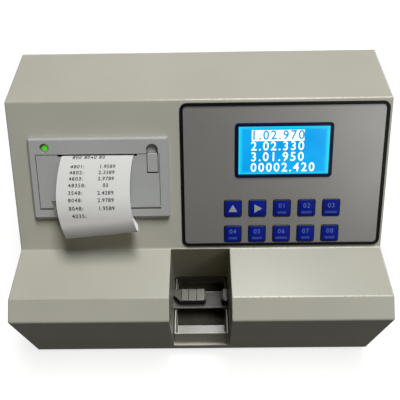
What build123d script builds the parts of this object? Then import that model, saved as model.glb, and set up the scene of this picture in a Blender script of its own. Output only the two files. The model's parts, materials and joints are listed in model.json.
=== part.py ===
from build123d import *
from math import atan2, cos, degrees, pi, radians, sin
import os

os.makedirs("parts", exist_ok=True)

# Everything is drawn in the case's own frame: X to the right, Y back from the outer
# face of the front skin, Z up from the bottom edge of the housing. save() moves each
# piece so that the origin is under the middle of the object, level with its feet.

# Housing
width = 300.0
depth = 198.0
top_height = 171.5
top_front = 138.6
ledge_height = 81.5
ledge_back = 58.7
bevel_height = 71.5
bevel_depth = 15.5
sheet = 1.5
bend = 2.5
cheek_round = 1.5
rear_flange = 12.0
screw_hole = 1.6
fit_gap = 0.3
foot_height = 8.0
foot_radius = 11.0
foot_inset_x = 26.0
foot_inset_y = 24.0

# Test bay, tray and platform
bay_width = 49.0
bay_depth = 58.0
bay_floor = 9.0
bay_door_height = 27.0
tray_width = 46.8
tray_sheet = 1.0
tray_front = 2.4
tray_lean = 3.5
tray_back = 61.2
tray_height = 14.7
tray_travel = 62.0
platform_thick = 3.0
platform_front = 27.6
platform_back = 43.0
platform_gap = 0.6

# Jaws: head, stem and the gap that a tablet goes in
jaw_front = 31.0
jaw_back = 42.0
stem_front = 36.0
jaw_low = 27.9
jaw_top = 35.6
jaw_crown = 0.9
jaw_left = -18.5
jaw_tip = 3.4
jaw_pad = 1.0
jaw_gap = 14.0
jaw_close = 13.4
jaw_open = 4.0
fixed_head = 5.0

# Jaw drive, along one axis
axis_y = 39.0
axis_z = 32.0
bed_thick = 4.0
bed_left = -147.0
bed_right = 76.0
bed_front = 8.0
bed_back = 116.0
bed_top = sheet + bed_thick
rod_radius = 4.0
rod_spread = 18.0
bush_radius = 7.5
bush_length = 24.0
run_fit = 0.03
screw_radius = 4.0
screw_fit = 0.05
screw_end = -58.8
motor_size = 42.0
motor_length = 28.0
motor_face = -120.0
bracket_thick = 3.0
coupling_radius = 8.0
coupling_length = 16.0
support_thick = 6.0
support_left = -97.0
support_right = -36.0
carriage_left = -79.5
carriage_wide = 52.0
carriage_high = 20.0
boss_radius = 8.0
boss_end = -47.0
nut_flange = 3.0
nut_radius = 5.25
cell_thick = 12.7
cell_length = 80.0
cell_left = 40.0

# Sloping panel: X, and the distance up the slope from the ledge
printer_x = -79.0
printer_up = 60.5
printer_wide = 110.0
printer_high = 65.0
bezel_thick = 5.0
bezel_chamfer = 1.8
case_wide = 102.4
case_high = 56.4
case_deep = 50.0
door_wide = 96.3
door_low = 36.1
door_top = 79.7
door_gap = 0.4
door_thick = 2.6
door_face = 4.6
pin_radius = 0.8
paper_x = -79.6
paper_wide = 57.0
paper_thick = 0.4
paper_rise = 11.0
paper_arch = ((83.0, 144.5), (58.6, 110.0), (62.5, 100.4), (72.0, 102.5))
paper_bends = (4, 16, 5, 3)
slit_drop = 1.5
slit_wide = 61.5
lever_wide = 8.4
lever_left = -40.7
lever_low = 64.9
lever_top = 80.2
tail_gap = 0.45
lever_thick = 2.4
lever_proud = 0.3
platen_up = 73.2
platen_deep = -4.5
platen_radius = 4.5
platen_shaft_radius = 1.5
roll_up = 54.0
roll_deep = -28.0
roll_radius = 17.0
roll_core = 6.0
led_x = -120.4
led_up = 85.0
panel_x = 66.4
panel_up = 60.1
panel_wide = 162.2
panel_high = 115.9
trim_band = 2.6
trim_height = 1.8
plate_thick = 1.0
panel_corner = 5.5
lcd_x = 66.6
lcd_up = 80.9
lcd_wide = 71.0
lcd_high = 39.5
lcd_band = 2.9
key_size = 14.0
key_gap = 0.4
key_pitch_x = key_size + 5.85
key_pitch_up = key_size + 7.5
key_up = key_size / 2 + 5.6
key_travel = 0.6
key_proud = 0.7
key_board_low = -7.6
switch_body = -3.7
switch_top = -2.95

# Rear: socket below, rocker switch above
inlet_x = 108.0
inlet_z = 46.0
socket_z = 36.0
rocker_z = 59.0
inlet_wide = 28.0
inlet_high = 48.0
inlet_proud = 3.0
rocker_tilt = 8.0
rocker_wide = 18.4
rocker_high = 11.2
rocker_face = 6.2

# Electronics on the base
board_height = 10.0
board_x = -92.0
board_y = depth - 43
board_wide = 100.0
board_deep = 76.0
board_thick = 1.6
supply_x = (28.0, 120.0)
supply_y = (depth - 80, depth - 26)
supply_high = 34.0

slope_angle = degrees(atan2(top_height - ledge_height, top_front - ledge_back))
slope = Plane(
    origin=(0, ledge_back, ledge_height),
    x_dir=(1, 0, 0),
    z_dir=(0, -sin(radians(slope_angle)), cos(radians(slope_angle))),
)
rocker_reach = rocker_face * cos(radians(rocker_tilt)) - 1
rocker_reach += rocker_high / 2 * sin(radians(rocker_tilt))
whole_depth = depth + rocker_reach
to_row = Location((0, -whole_depth / 2, foot_height))


def save(name, *shapes):
    solids = [solid for shape in shapes for solid in shape.moved(to_row).solids()]
    export_step(Compound(solids), "parts/" + name + ".step")


def block(x, y, z):
    size = [pair[1] - pair[0] for pair in (x, y, z)]
    middle = [(pair[1] + pair[0]) / 2 for pair in (x, y, z)]
    return Pos(*middle) * Box(*size)


def plate(centre, size, corner, low, high):
    outline = RectangleRounded(*size, corner) if corner else Rectangle(*size)
    return Pos(*centre, low) * extrude(outline, high - low)


def along_x(radius, start, end, y, z):
    return Pos((start + end) / 2, y, z) * Rot(0, 90, 0) * Cylinder(radius, end - start)


def along_y(radius, start, end, x, z):
    return Pos(x, (start + end) / 2, z) * Rot(90, 0, 0) * Cylinder(radius, end - start)


def upright(radius, low, high, x, y):
    return Pos(x, y, (low + high) / 2) * Cylinder(radius, high - low)


def on_slope(shape):
    return shape.moved(slope.location)


def side_profile(points, corner=0.0, rounded=None):
    face = make_face(Polyline(*points, close=True))
    if corner:
        picked = [v for v in face.vertices() if rounded is None or rounded(v)]
        face = fillet(picked, corner)
    return face


def housing_profile(bottom, back):
    points = [
        (0, bottom),
        (0, bevel_height),
        (bevel_depth, ledge_height),
        (ledge_back, ledge_height),
        (top_front, top_height),
        (back, top_height),
        (back, bottom),
    ]
    return side_profile(points, bend, lambda v: bottom < v.Y and v.X < back)


def across(face, half_width):
    return extrude(Plane.YZ * face, half_width, both=True)


# The space inside the skin, longer than the housing at its open back and bottom
beyond = 10.0
cavity = across(
    offset(housing_profile(-beyond, depth + beyond), -sheet), width / 2 - sheet
)


def main_cover():
    outer = across(housing_profile(0, depth), width / 2)
    rim = [
        e
        for e in outer.edges()
        if abs(abs(e.center().X) - width / 2) < 0.01
        and e.center().Z > 0.01
        and e.center().Y < depth - 0.01
    ]
    shell = fillet(rim, cheek_round) - cavity
    return_depth = depth - 2 * sheet
    inner_wide = width / 2 - sheet - rear_flange
    ring = cavity & block((-width, width), (return_depth, depth - sheet), (0, width))
    ring -= block(
        (-inner_wide, inner_wide), (0, depth), (-1, top_height - sheet - rear_flange)
    )
    bay = block((-bay_width / 2, bay_width / 2), (-1, bay_depth), (bay_floor, 100))
    printer_cut = plate(
        (printer_x, printer_up),
        (case_wide + 2 * fit_gap, case_high + 2 * fit_gap),
        2,
        -5,
        5,
    )
    panel_cut = plate(
        (panel_x, panel_up), (panel_wide - 12, panel_high - 3.5), 4, -5, 5
    )
    for x, z in rear_screw_places():
        ring -= along_y(screw_hole, 0, depth + 5, x, z)
    return shell + ring - bay - on_slope(printer_cut) - on_slope(panel_cut)


def bay_liner():
    half = bay_width / 2
    wall = half + sheet
    tunnel_back = tray_back + 2.3
    body = cavity & block((-wall, wall), (0, tunnel_back + sheet), (bay_floor - sheet, 90))
    body -= block((-half, half), (-1, bay_depth), (bay_floor, 100))
    tunnel_face = Pos(0, (bay_floor + bay_door_height) / 2) * RectangleRounded(
        bay_width - 1.4, bay_door_height - bay_floor, 4
    )
    tunnel_face += Pos(0, bay_floor + 3) * Rectangle(bay_width - 1.4, 6)
    tunnel = extrude(Plane.XZ * tunnel_face, -tunnel_back)
    body -= tunnel & block((-half, half), (bay_depth - 1, tunnel_back), (0, 100))
    body -= block(
        (-wall, wall), (bay_depth + sheet, 100), (bay_door_height + sheet, 100)
    )
    slot = block((-wall - 1, wall + 1), (jaw_front + 0.6, jaw_back + 1), (jaw_low - 0.7, 37.5))
    return body - slot


def base_plate():
    half = width / 2 - sheet
    floor = block((-half, half), (sheet, depth - 2 * sheet), (0, sheet))
    rim_high = bay_floor - sheet - 1
    rim = block((-half, half), (sheet, depth - 2 * sheet), (0, rim_high))
    rim -= block(
        (-half + sheet, half - sheet), (2 * sheet, depth - 3 * sheet), (-1, 20)
    )
    slots = [
        Pos(x, y, 0) * extrude(SlotOverall(40, 3), 4 * sheet, both=True)
        for x in (-80, 90)
        for y in (140, 152, 164)
    ]
    tray = floor + rim
    for slot in slots:
        tray -= slot
    for x, y in foot_places():
        tray -= upright(2.1, -1, sheet + 1, x, y)
    return tray


def foot_places():
    x = width / 2 - foot_inset_x
    return [(s * x, y) for s in (-1, 1) for y in (foot_inset_y, depth - foot_inset_y)]


def rubber_foot(x, y):
    profile = Polyline(
        (2.1, 0),
        (foot_radius, 0),
        (foot_radius - 2, -foot_height),
        (5, -foot_height),
        (5, -3),
        (2.1, -3),
        close=True,
    )
    ring = revolve(Plane.XZ * make_face(profile), Axis.Z)
    return Pos(x, y, 0) * ring


def foot_screw(x, y):
    shank = upright(2.1, -3, sheet, x, y)
    head = upright(3.8, -5.4, -3, x, y)
    head = chamfer(head.edges().sort_by(Axis.Z)[0], 0.7)
    return shank + head


def rear_panel():
    half = width / 2 - sheet
    panel = cavity & block((-half, half), (depth - sheet, depth), (0, 200))
    panel -= block(
        (inlet_x - inlet_wide / 2 + 2, inlet_x + inlet_wide / 2 - 2),
        (0, 300),
        (inlet_z - inlet_high / 2 + 2, inlet_z + inlet_high / 2 - 2),
    )
    vent = extrude(Plane.XZ * SlotOverall(44, 3), depth + 5, both=True)
    for x in (-85, -25):
        for row in range(4):
            panel -= Pos(x, 0, 100 + 9 * row) * vent
    for x, z in rear_screw_places():
        panel -= along_y(screw_hole, depth - 5, depth + 5, x, z)
    return panel


def rear_screw_places():
    x = width / 2 - sheet - rear_flange / 2
    z = top_height - sheet - rear_flange / 2
    return [(s * x, h) for s in (-1, 1) for h in (18, 92, z)]


def rear_screw(x, z):
    head = Pos(x, depth, z) * Rot(-90, 0, 0) * (Pos(0, 0, 0.9) * Cylinder(2.9, 1.8))
    head = chamfer(head.edges().sort_by(Axis.Y)[-1], 0.7)
    return head + along_y(1.5, depth - 8, depth, x, z)


# Printer, in the slope's own frame


def printer_bezel():
    body = plate((printer_x, printer_up), (printer_wide, printer_high), 2, 0, bezel_thick)
    body = chamfer(body.faces().sort_by(Axis.Z)[-1].edges(), bezel_chamfer)
    low, high = door_low - door_gap, door_top + door_gap
    left = door_middle() - door_wide / 2 - door_gap
    right = door_middle() + door_wide / 2 + door_gap
    body -= block((left, right), (low, high), (-1, 9))
    recess = plate((lever_left + lever_wide / 2, high), (lever_wide + 0.8, 15), 4.4, 1.2, 9)
    body -= recess
    body -= upright(3.7, 2.6, 9, led_x, led_up)
    body -= upright(2.5 + run_fit, -1, 9, led_x, led_up)
    y, z = hinge_place()
    body -= along_x(pin_radius, left - 3, right + 3, y, z)
    return on_slope(body)


def door_middle():
    return printer_x - 0.45


def hinge_place():
    return door_low + door_thick / 2, door_face - door_thick / 2


def hinge_pin():
    y, z = hinge_place()
    reach = door_wide / 2 + door_gap + 3
    return on_slope(along_x(pin_radius, door_middle() - reach, door_middle() + reach, y, z))


def printer_case():
    body = plate((printer_x, printer_up), (case_wide, case_high), 1.5, -case_deep, 0)
    half = paper_wide / 2 + 2
    left, right = paper_x - half, paper_x + half
    low, high = roll_up - roll_radius - fit_gap, door_top
    pocket = block((left, right), (low, high), (roll_deep, 1))
    pocket += along_x(roll_radius + fit_gap, left, right, roll_up, roll_deep)
    pocket += block((left, right), (roll_up, high), (roll_deep - 6, 1))
    wide = door_wide / 2
    pocket += block(
        (door_middle() - wide, door_middle() + wide), (door_low, high), (-13, 1)
    )
    connector = block((printer_x - 12, printer_x + 12), (40, 50), (-case_deep - 6, -case_deep))
    body -= upright(3.1 + fit_gap, -3 - fit_gap, 1, led_x, led_up)
    return on_slope(body - pocket + connector)


def print_head():
    bottom = platen_deep - platen_radius
    high = door_top
    body = block(
        (paper_x - 29, paper_x + 29), (high - 12, high), (bottom - 3.9, bottom - 0.9)
    )
    line = plate((paper_x, platen_up), (paper_wide, 3), 1.4, bottom - 0.9, bottom - fit_gap)
    return on_slope(body + line)


def printer_door():
    y, z = hinge_place()
    low_face = door_face - door_thick
    x0, x1 = door_middle() - door_wide / 2, door_middle() + door_wide / 2
    panel = block((x0, x1), (y, door_top), (low_face, door_face))
    panel += along_x(door_thick / 2, x0, x1, y, z)
    notch_low = door_top - slit_drop
    notch = Polyline(
        (paper_x - slit_wide / 2 - slit_drop, door_top + 1),
        (paper_x - slit_wide / 2, notch_low),
        (paper_x + slit_wide / 2, notch_low),
        (paper_x + slit_wide / 2 + slit_drop, door_top + 1),
        close=True,
    )
    panel -= extrude(make_face(notch), 20)
    wall = 1.3
    left = lever_left - fit_gap
    low = lever_low - fit_gap
    floor_low, floor_high = low_face - 2.8, low_face - 1.2
    panel -= block((left, x1 + 1), (low, door_top + 1), (low_face - 1, 9))
    cup = block((left - wall, x1), (low - wall, door_top), (floor_low, door_face))
    cup -= block((left, x1 - 0.6), (low, door_top + 1), (floor_high, 9))
    panel += cup
    for side in (-1, 1):
        x = paper_x + side * 31.5
        ear = block((x - 1, x + 1), (platen_up - 3, platen_up + 3), (platen_deep, low_face))
        ear += along_x(3, x - 1, x + 1, platen_up, platen_deep)
        panel += ear
    bore = platen_shaft_radius + run_fit
    panel -= along_x(bore, paper_x - 34, paper_x + 34, platen_up, platen_deep)
    panel -= along_x(pin_radius + run_fit, x0 - 1, x1 + 1, y, z)
    ly, lz = lever_pivot()
    panel -= along_x(0.7 + run_fit, left - wall - 1, x1 + 1, ly, lz)
    return on_slope(panel)


def lever_pivot():
    return lever_low + 1.9, door_face - 1.7


def door_latch():
    ly, lz = lever_pivot()
    right = lever_left + lever_wide
    tail = lever_low + tail_gap
    outline = plate(
        (lever_left + lever_wide / 2, (tail + lever_top) / 2),
        (lever_wide, lever_top - tail),
        1.6,
        door_face - lever_thick,
        door_face + lever_proud,
    )
    trim = block((lever_left, right), (tail, ly), (door_face - lever_thick, door_face + lever_proud))
    lever = outline + trim
    edge = lever.faces().sort_by(Axis.Z)[-1].edges()
    lever = chamfer(edge, 0.5)
    lever += along_x(0.7, lever_left - 1.2, right + 0.8, ly, lz)
    return on_slope(lever)


def platen_roller():
    half = paper_wide / 2 + 0.5
    rubber = along_x(platen_radius, paper_x - half, paper_x + half, platen_up, platen_deep)
    shaft = along_x(
        platen_shaft_radius, paper_x - 33.5, paper_x + 38, platen_up, platen_deep
    )
    return on_slope(rubber + shaft)


def platen_gear():
    teeth = 16
    root, tip = 3.3, 4.2
    body = Circle(root)
    for index in range(teeth):
        tooth = Pos((root + tip) / 2 - 0.1, 0) * Rot(0, 0, -90) * Trapezoid(0.95, tip - root + 0.2, 80)
        body += Rot(0, 0, 360 / teeth * index) * tooth
    body -= Circle(platen_shaft_radius)
    gear = extrude(body, 3)
    gear = gear.moved(Location((paper_x + 34.2, platen_up, platen_deep), (0, 90, 0)))
    return on_slope(gear)


def paper_roll():
    half = paper_wide / 2
    roll = along_x(roll_radius, paper_x - half, paper_x + half, roll_up, roll_deep)
    roll -= along_x(roll_core, paper_x - half - 1, paper_x + half + 1, roll_up, roll_deep)
    return on_slope(roll)


def paper_strip():
    exit_up = door_top - slit_drop / 2
    inner = slope.from_local_coords((0, exit_up, door_face - door_thick - 1))
    crest = slope.from_local_coords((0, exit_up, paper_rise))
    route = FilletPolyline(
        (inner.Y, inner.Z), (crest.Y, crest.Z), *paper_arch, radius=paper_bends
    )
    return Pos(paper_x, 0, 0) * across(trace(route, paper_thick), paper_wide / 2)


def status_led():
    lens = upright(2.5, -2, 3.4, led_x, led_up)
    lens = chamfer(lens.edges().sort_by(Axis.Z)[-1], 0.9)
    return on_slope(lens + upright(3.1, -3, -1.5, led_x, led_up))


# Control panel, in the slope's own frame


def key_places():
    row = [lcd_x + (column - 2) * key_pitch_x for column in range(5)]
    return [(x, key_up + key_pitch_up) for x in row] + [(x, key_up) for x in row]


def control_plate():
    size = (panel_wide - 2 * trim_band, panel_high - 2 * trim_band)
    corner = panel_corner - trim_band
    body = plate((panel_x, panel_up), size, corner, 0, plate_thick)
    body -= plate((lcd_x, lcd_up), (lcd_wide, lcd_high), 1, -1, 5)
    hole = key_size + 2 * key_gap
    for x, up in key_places():
        body -= plate((x, up), (hole, hole), 2, -1, 5)
    return on_slope(body)


def panel_trim():
    outer = plate((panel_x, panel_up), (panel_wide, panel_high), panel_corner, 0, trim_height)
    outer = chamfer(outer.faces().sort_by(Axis.Z)[-1].edges(), 0.6)
    size = (panel_wide - 2 * trim_band, panel_high - 2 * trim_band)
    inner = plate((panel_x, panel_up), size, panel_corner - trim_band, -1, 5)
    return on_slope(outer - inner)


def lcd_frame():
    top = plate_thick + 1.2
    size = (lcd_wide + 2 * lcd_band, lcd_high + 1.2 * lcd_band)
    body = plate((lcd_x, lcd_up), size, 3, plate_thick, top)
    body = chamfer(body.faces().sort_by(Axis.Z)[-1].edges(), 0.5)
    body -= plate((lcd_x, lcd_up), (lcd_wide, lcd_high), 1, -1, 5)
    return on_slope(body)


def lcd_glass():
    return on_slope(plate((lcd_x, lcd_up), (lcd_wide, lcd_high), 1, -0.6, plate_thick + 0.5))


def lcd_module():
    face = plate((lcd_x, lcd_up), (lcd_wide + 6, lcd_high + 8), 0, -6, -0.6)
    board = plate((lcd_x, lcd_up), (93, 64), 0, -7.6, -6)
    chips = [
        plate((lcd_x + x, lcd_up - 12), (14, 12), 0, -9.6, -7.6) for x in (-28, 0, 28)
    ]
    body = face + board
    for chip in chips:
        body += chip
    for s in (-1, 1):
        for t in (-1, 1):
            body -= upright(1.5, -9, -5, lcd_x + s * 43.5, lcd_up + t * 29)
    return on_slope(body)


def key_board():
    middle = key_up + key_pitch_up / 2
    size = (4 * key_pitch_x + 27.6, key_pitch_up + 18.5)
    body = plate((lcd_x, middle), size, 2, key_board_low, key_board_low + board_thick)
    return on_slope(body)


def key_switches():
    made = []
    for x, up in key_places():
        body = plate((x, up), (6, 6), 0, key_board_low + board_thick, switch_body)
        made.append(on_slope(body + plate((x, up), (3.2, 3.2), 0, switch_body, switch_top)))
    return made


def key(x, up):
    top = plate_thick + key_proud
    cap = plate((x, up), (key_size, key_size), 1.5, -0.3, top)
    cap = chamfer(cap.faces().sort_by(Axis.Z)[-1].edges(), 0.35)
    flange = plate((x, up), (key_size + 2, key_size + 2), 0, -1.2, -0.3)
    stem = plate((x, up), (3.6, 3.6), 0, switch_top + key_travel + 0.1, -1.2)
    return on_slope(cap + flange + stem)


def hex_post(radius, low, high, x, y):
    return Pos(x, y, low) * extrude(RegularPolygon(radius, 6), high - low)


def standoffs():
    made = []
    for x, y in board_corners():
        made.append(hex_post(3, sheet, board_height, x, y))
    middle = key_up + key_pitch_up / 2
    for s in (-1, 1):
        for t in (-1, 1):
            x, up = lcd_x + s * (2 * key_pitch_x + 10.8), middle + t * (key_pitch_up / 2 + 5.25)
            made.append(on_slope(hex_post(1.7, key_board_low + board_thick, 0, x, up)))
            x, up = lcd_x + s * 43.5, lcd_up + t * 29
            made.append(on_slope(hex_post(2, -6, 0, x, up)))
    return made


# Electronics on the base

def board_corners():
    dx, dy = board_wide / 2 - 5, board_deep / 2 - 5
    return [(board_x + s * dx, board_y + t * dy) for s in (-1, 1) for t in (-1, 1)]


def main_board():
    top = board_height + board_thick
    body = plate((board_x, board_y), (board_wide, board_deep), 2, board_height, top)
    made = [body]
    for x, y, w, d, h in (
        (-10, 4, 16, 16, 1.6),
        (22, -8, 10, 18, 2.2),
        (-34, -22, 9, 22, 8.5),
        (34, 24, 22, 9, 8.5),
        (-6, -27, 30, 7, 7.0),
    ):
        made.append(
            plate((board_x + x, board_y + y), (w, d), 0, top, top + h)
        )
    for x in (-34, -24, 14):
        made.append(upright(4, top, top + 11, board_x + x, board_y + 20))
    return made


def power_supply():
    x0, x1 = supply_x
    body = block(supply_x, supply_y, (sheet, sheet + supply_high))
    body = fillet(body.edges().filter_by(Axis.X).group_by(Axis.Z)[-1], 1.5)
    body -= block((x0 - 1, x0 + 14), (supply_y[0] - 1, supply_y[1] + 1), (sheet + 18, 99))
    for column in range(5):
        x = x0 + 28 + 13 * column
        body -= plate((x, sum(supply_y) / 2), (5, 36), 0, sheet + supply_high - 2, 99)
    terminals = block(
        (x0 + 2, x0 + 12), (supply_y[0] + 6, supply_y[1] - 6), (sheet + 18, sheet + 29)
    )
    return body + terminals


# Rear inlet

def mains_inlet():
    back = depth + inlet_proud
    rim = extrude(Plane.XZ * Rectangle(inlet_wide, inlet_high), -inlet_proud)
    rim = chamfer(rim.faces().sort_by(Axis.Y)[-1].edges(), 1)
    rim = Pos(inlet_x, depth, inlet_z) * rim
    inside = block(
        (inlet_x - inlet_wide / 2 + 2.2, inlet_x + inlet_wide / 2 - 2.2),
        (depth - 22, depth),
        (inlet_z - inlet_high / 2 + 2.2, inlet_z + inlet_high / 2 - 2.2),
    )
    body = rim + inside
    socket = Pos(inlet_x, 0, socket_z) * extrude(
        Plane.XZ * RectangleRounded(21.5, 17, 3), -back - 1
    )
    body -= socket & block((0, 200), (depth - 15, back + 1), (0, 200))
    body -= block(
        (inlet_x - 9.5, inlet_x + 9.5), (depth - 12, back + 1), (rocker_z - 6.5, rocker_z + 6.5)
    )
    body -= along_x(1.0 + run_fit, inlet_x - 11, inlet_x + 11, depth - 1, rocker_z)
    return body


def inlet_pins():
    made = []
    for x, z in ((-7, 2.5), (0, -2.5), (7, 2.5)):
        pin = block((-1, 1), (depth - 15, depth - 1), (-2, 2))
        pin = chamfer(pin.faces().sort_by(Axis.Y)[-1].edges(), 0.5)
        made.append(Pos(inlet_x + x, 0, socket_z + z) * pin)
    return made


def power_rocker():
    half = rocker_high / 2
    profile = Polyline(
        (-4, -half),
        (rocker_face, -half),
        (rocker_face - 1.0, 0),
        (rocker_face, half),
        (-4, half),
        close=True,
    )
    body = extrude(Plane.YZ * make_face(profile), rocker_wide / 2, both=True)
    body += Rot(0, 90, 0) * Cylinder(1.0, rocker_wide + 2.6)
    return Pos(inlet_x, depth - 1, rocker_z) * Rot(rocker_tilt, 0, 0) * body


# Test platform, tray and jaws


def test_platform():
    top = platform_top()
    points = [
        (platform_front, top - platform_thick),
        (platform_front, top),
        (platform_back, top),
        (platform_back, top - platform_thick),
    ]
    face = side_profile(points, 0.8, lambda v: v.X < platform_front + 0.1)
    return across(face, bay_width / 2)


def platform_top():
    return bay_floor + fit_gap + tray_height + platform_gap + platform_thick


def waste_tray():
    low = bay_floor + fit_gap
    high = low + tray_height

    def shape(inset):
        points = [
            (tray_front + inset, low + inset),
            (tray_front + tray_lean + inset, high + inset),
            (tray_back - inset, high + inset),
            (tray_back - inset, low + inset),
        ]
        side = across(make_face(Polyline(*points, close=True)), tray_width)
        round_low = 2.5 - inset
        outline = Pos(0, (low + high) / 2 + inset) * Rectangle(
            tray_width - 2 * inset, tray_height
        )
        outline = fillet(outline.vertices().group_by(Axis.Y)[0], round_low)
        return side & extrude(Plane.XZ * outline, -100)

    body = shape(0) - shape(tray_sheet)
    corner = Pos(0, low + tray_height - 3) * Rectangle(tray_width + 2, 6.2)
    corner -= Pos(0, low) * RectangleRounded(tray_width, 2 * tray_height, 4)
    body -= extrude(Plane.XZ * corner, -100) & block((-50, 50), (tray_back - 4, 90), (0, 90))
    return body


def moving_jaw():
    shoulder = stem_front - jaw_front
    plan = Polyline(
        (boss_end, stem_front),
        (jaw_left - shoulder, stem_front),
        (jaw_left, jaw_front),
        (jaw_tip, jaw_front),
        (jaw_tip, jaw_back),
        (boss_end, jaw_back),
        close=True,
    )
    body = Pos(0, 0, jaw_low) * extrude(make_face(plan), jaw_top - jaw_low)
    crown = block((jaw_left + 1.3, jaw_tip - 0.3), (jaw_front, jaw_back), (jaw_top, jaw_top + jaw_crown))
    body += chamfer(crown.faces().sort_by(Axis.Z)[-1].edges(), 0.3)
    third = (jaw_tip - jaw_left) / 3
    for x in (jaw_left + third, jaw_left + 2 * third):
        body -= block((x - 0.35, x + 0.35), (0, 99), (jaw_top + jaw_crown - 0.6, 99))
    body += jaw_face(jaw_tip, jaw_tip + jaw_pad)
    return body + along_x(boss_radius + 0.5, boss_end, boss_end + 3, axis_y, axis_z)


def jaw_face(start, end):
    outline = Pos((jaw_front + jaw_back) / 2, (jaw_low + jaw_top) / 2 + 0.2)
    pad = outline * RectangleRounded(jaw_back - jaw_front - 2, jaw_top - jaw_low - 0.6, 1)
    return Pos(start, 0, 0) * extrude(Plane.YZ * pad, end - start)


def fixed_jaw():
    face = jaw_tip + jaw_pad + jaw_gap
    near = face + jaw_pad
    far = near + fixed_head - jaw_pad
    shoulder = stem_front - jaw_front
    plan = Polyline(
        (near, jaw_front),
        (far, jaw_front),
        (far + shoulder, stem_front),
        (cell_left, stem_front),
        (cell_left, jaw_back),
        (near, jaw_back),
        close=True,
    )
    body = Pos(0, 0, jaw_low) * extrude(make_face(plan), jaw_top - jaw_low)
    crown = block((near + 0.3, far), (jaw_front, jaw_back), (jaw_top, jaw_top + jaw_crown))
    body += chamfer(crown.faces().sort_by(Axis.Z)[-1].edges(), 0.3)
    body += along_x(7, cell_left - 3, cell_left, axis_y, axis_z)
    return body + jaw_face(face, near)


# Jaw drive


def mechanism_bed():
    y = (bed_front + bed_back) / 2
    body = plate(
        ((bed_left + bed_right) / 2, y),
        (bed_right - bed_left, bed_back - bed_front),
        4,
        sheet,
        sheet + bed_thick,
    )
    return body


def motor_body():
    half = motor_size / 2
    outline = chamfer(Rectangle(motor_size, motor_size).vertices(), 4)
    end_caps = 8.0
    body = extrude(Plane.YZ * outline, motor_length)
    waist = extrude(Plane.YZ * chamfer(Rectangle(motor_size, motor_size).vertices(), 6), motor_length)
    mid = block((end_caps, motor_length - end_caps), (-half, half), (-half, half))
    body = (body - mid) + (waist & mid)
    pilot = along_x(11, motor_length, motor_length + bracket_thick - 0.5, 0, 0)
    bearing = along_x(2.5 + run_fit, motor_length - 6, motor_length + 5, 0, 0)
    return Pos(motor_face - motor_length, axis_y, axis_z) * (body + pilot - bearing)


def motor_bracket():
    x0, x1 = motor_face, motor_face + bracket_thick
    face = block((x0, x1), (axis_y - 24, axis_y + 24), (bed_top, axis_z + 22))
    face = fillet(face.edges().filter_by(Axis.X).group_by(Axis.Z)[-1], 5)
    foot = block((x0, x0 + 14), (axis_y - 24, axis_y + 24), (bed_top, bed_top + bracket_thick))
    ribs = []
    for s in (-1, 1):
        y = axis_y + s * 22.5
        rib = Polyline((x1, bed_top + 3), (x0 + 14, bed_top + 3), (x1, bed_top + 30), close=True)
        rib = extrude(Plane.XZ * make_face(rib), 1.5, both=True)
        ribs.append(Pos(0, y, 0) * rib)
    body = face + foot
    for rib in ribs:
        body += rib
    return body - along_x(11, x0 - 1, x1 + 1, axis_y, axis_z)


def motor_shaft():
    return along_x(2.5, motor_face - 6, motor_face + 13, axis_y, axis_z)


def shaft_coupling():
    start = motor_face + bracket_thick + 2
    end = start + coupling_length
    body = along_x(coupling_radius, start, end, axis_y, axis_z)
    body -= along_x(2.5, start - 1, motor_face + 13, axis_y, axis_z)
    body -= along_x(3, motor_face + 14, end + 1, axis_y, axis_z)
    for index in range(2):
        x = start + 6.5 + 2.4 * index
        cut = along_x(coupling_radius + 1, x, x + 0.7, axis_y, axis_z)
        body -= cut - along_x(5.5, x - 1, x + 2, axis_y, axis_z)
    return body


def lead_screw():
    shoulder = support_left + 0.2
    body = along_x(screw_radius, shoulder + 5.5, screw_end, axis_y, axis_z)
    body += along_x(3, motor_face + 14, shoulder + 5.6, axis_y, axis_z)
    tip = body.edges().sort_by(Axis.X)[-1]
    return chamfer(tip, 1)


def screw_bearing():
    body = along_x(8, support_left, support_left + 5, axis_y, axis_z)
    body -= along_x(3 + run_fit, support_left - 1, support_left + 6, axis_y, axis_z)
    groove = along_x(7, support_left - 1, support_left + 0.6, axis_y, axis_z)
    groove -= along_x(4.4, support_left - 2, support_left + 1, axis_y, axis_z)
    return body - groove


def rod_supports():
    made = []
    for x, hole in ((support_left, None), (support_right, 10.2)):
        outline = Rectangle(2 * rod_spread + 22, axis_z + 12 - bed_top)
        outline = Pos(axis_y, (axis_z + 12 + bed_top) / 2) * outline
        outline = fillet(outline.vertices().group_by(Axis.Y)[-1], 6)
        body = Pos(x, 0, 0) * extrude(Plane.YZ * outline, support_thick)
        if hole:
            body -= along_x(hole, x - 1, x + 9, axis_y, axis_z)
        else:
            body -= along_x(8, x - 1, x + 5, axis_y, axis_z)
            body -= along_x(5, x - 1, x + 9, axis_y, axis_z)
        for s in (-1, 1):
            body -= along_x(rod_radius, x - 1, x + 9, axis_y + s * rod_spread, axis_z)
        made.append(body)
    return made


def guide_rods():
    end = support_right + support_thick
    return [
        along_x(rod_radius, support_left, end, axis_y + s * rod_spread, axis_z)
        for s in (-1, 1)
    ]


def jaw_carriage():
    right = carriage_left + bush_length
    outline = Pos(axis_y, axis_z) * Rectangle(carriage_wide, carriage_high)
    outline = fillet(outline.vertices(), 4)
    body = Pos(carriage_left, 0, 0) * extrude(Plane.YZ * outline, bush_length)
    body += along_x(boss_radius, right, boss_end, axis_y, axis_z)
    body += block((right - 12, right - 8), (axis_y - 3, axis_y + 3), (axis_z - 18, axis_z - 9))
    for s in (-1, 1):
        y = axis_y + s * rod_spread
        body -= along_x(bush_radius, carriage_left - 1, right + 1, y, axis_z)
    body -= along_x(nut_radius, carriage_left - 1, carriage_left + 8, axis_y, axis_z)
    return body - along_x(4.6, carriage_left - 1, boss_end - 4, axis_y, axis_z)


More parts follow.
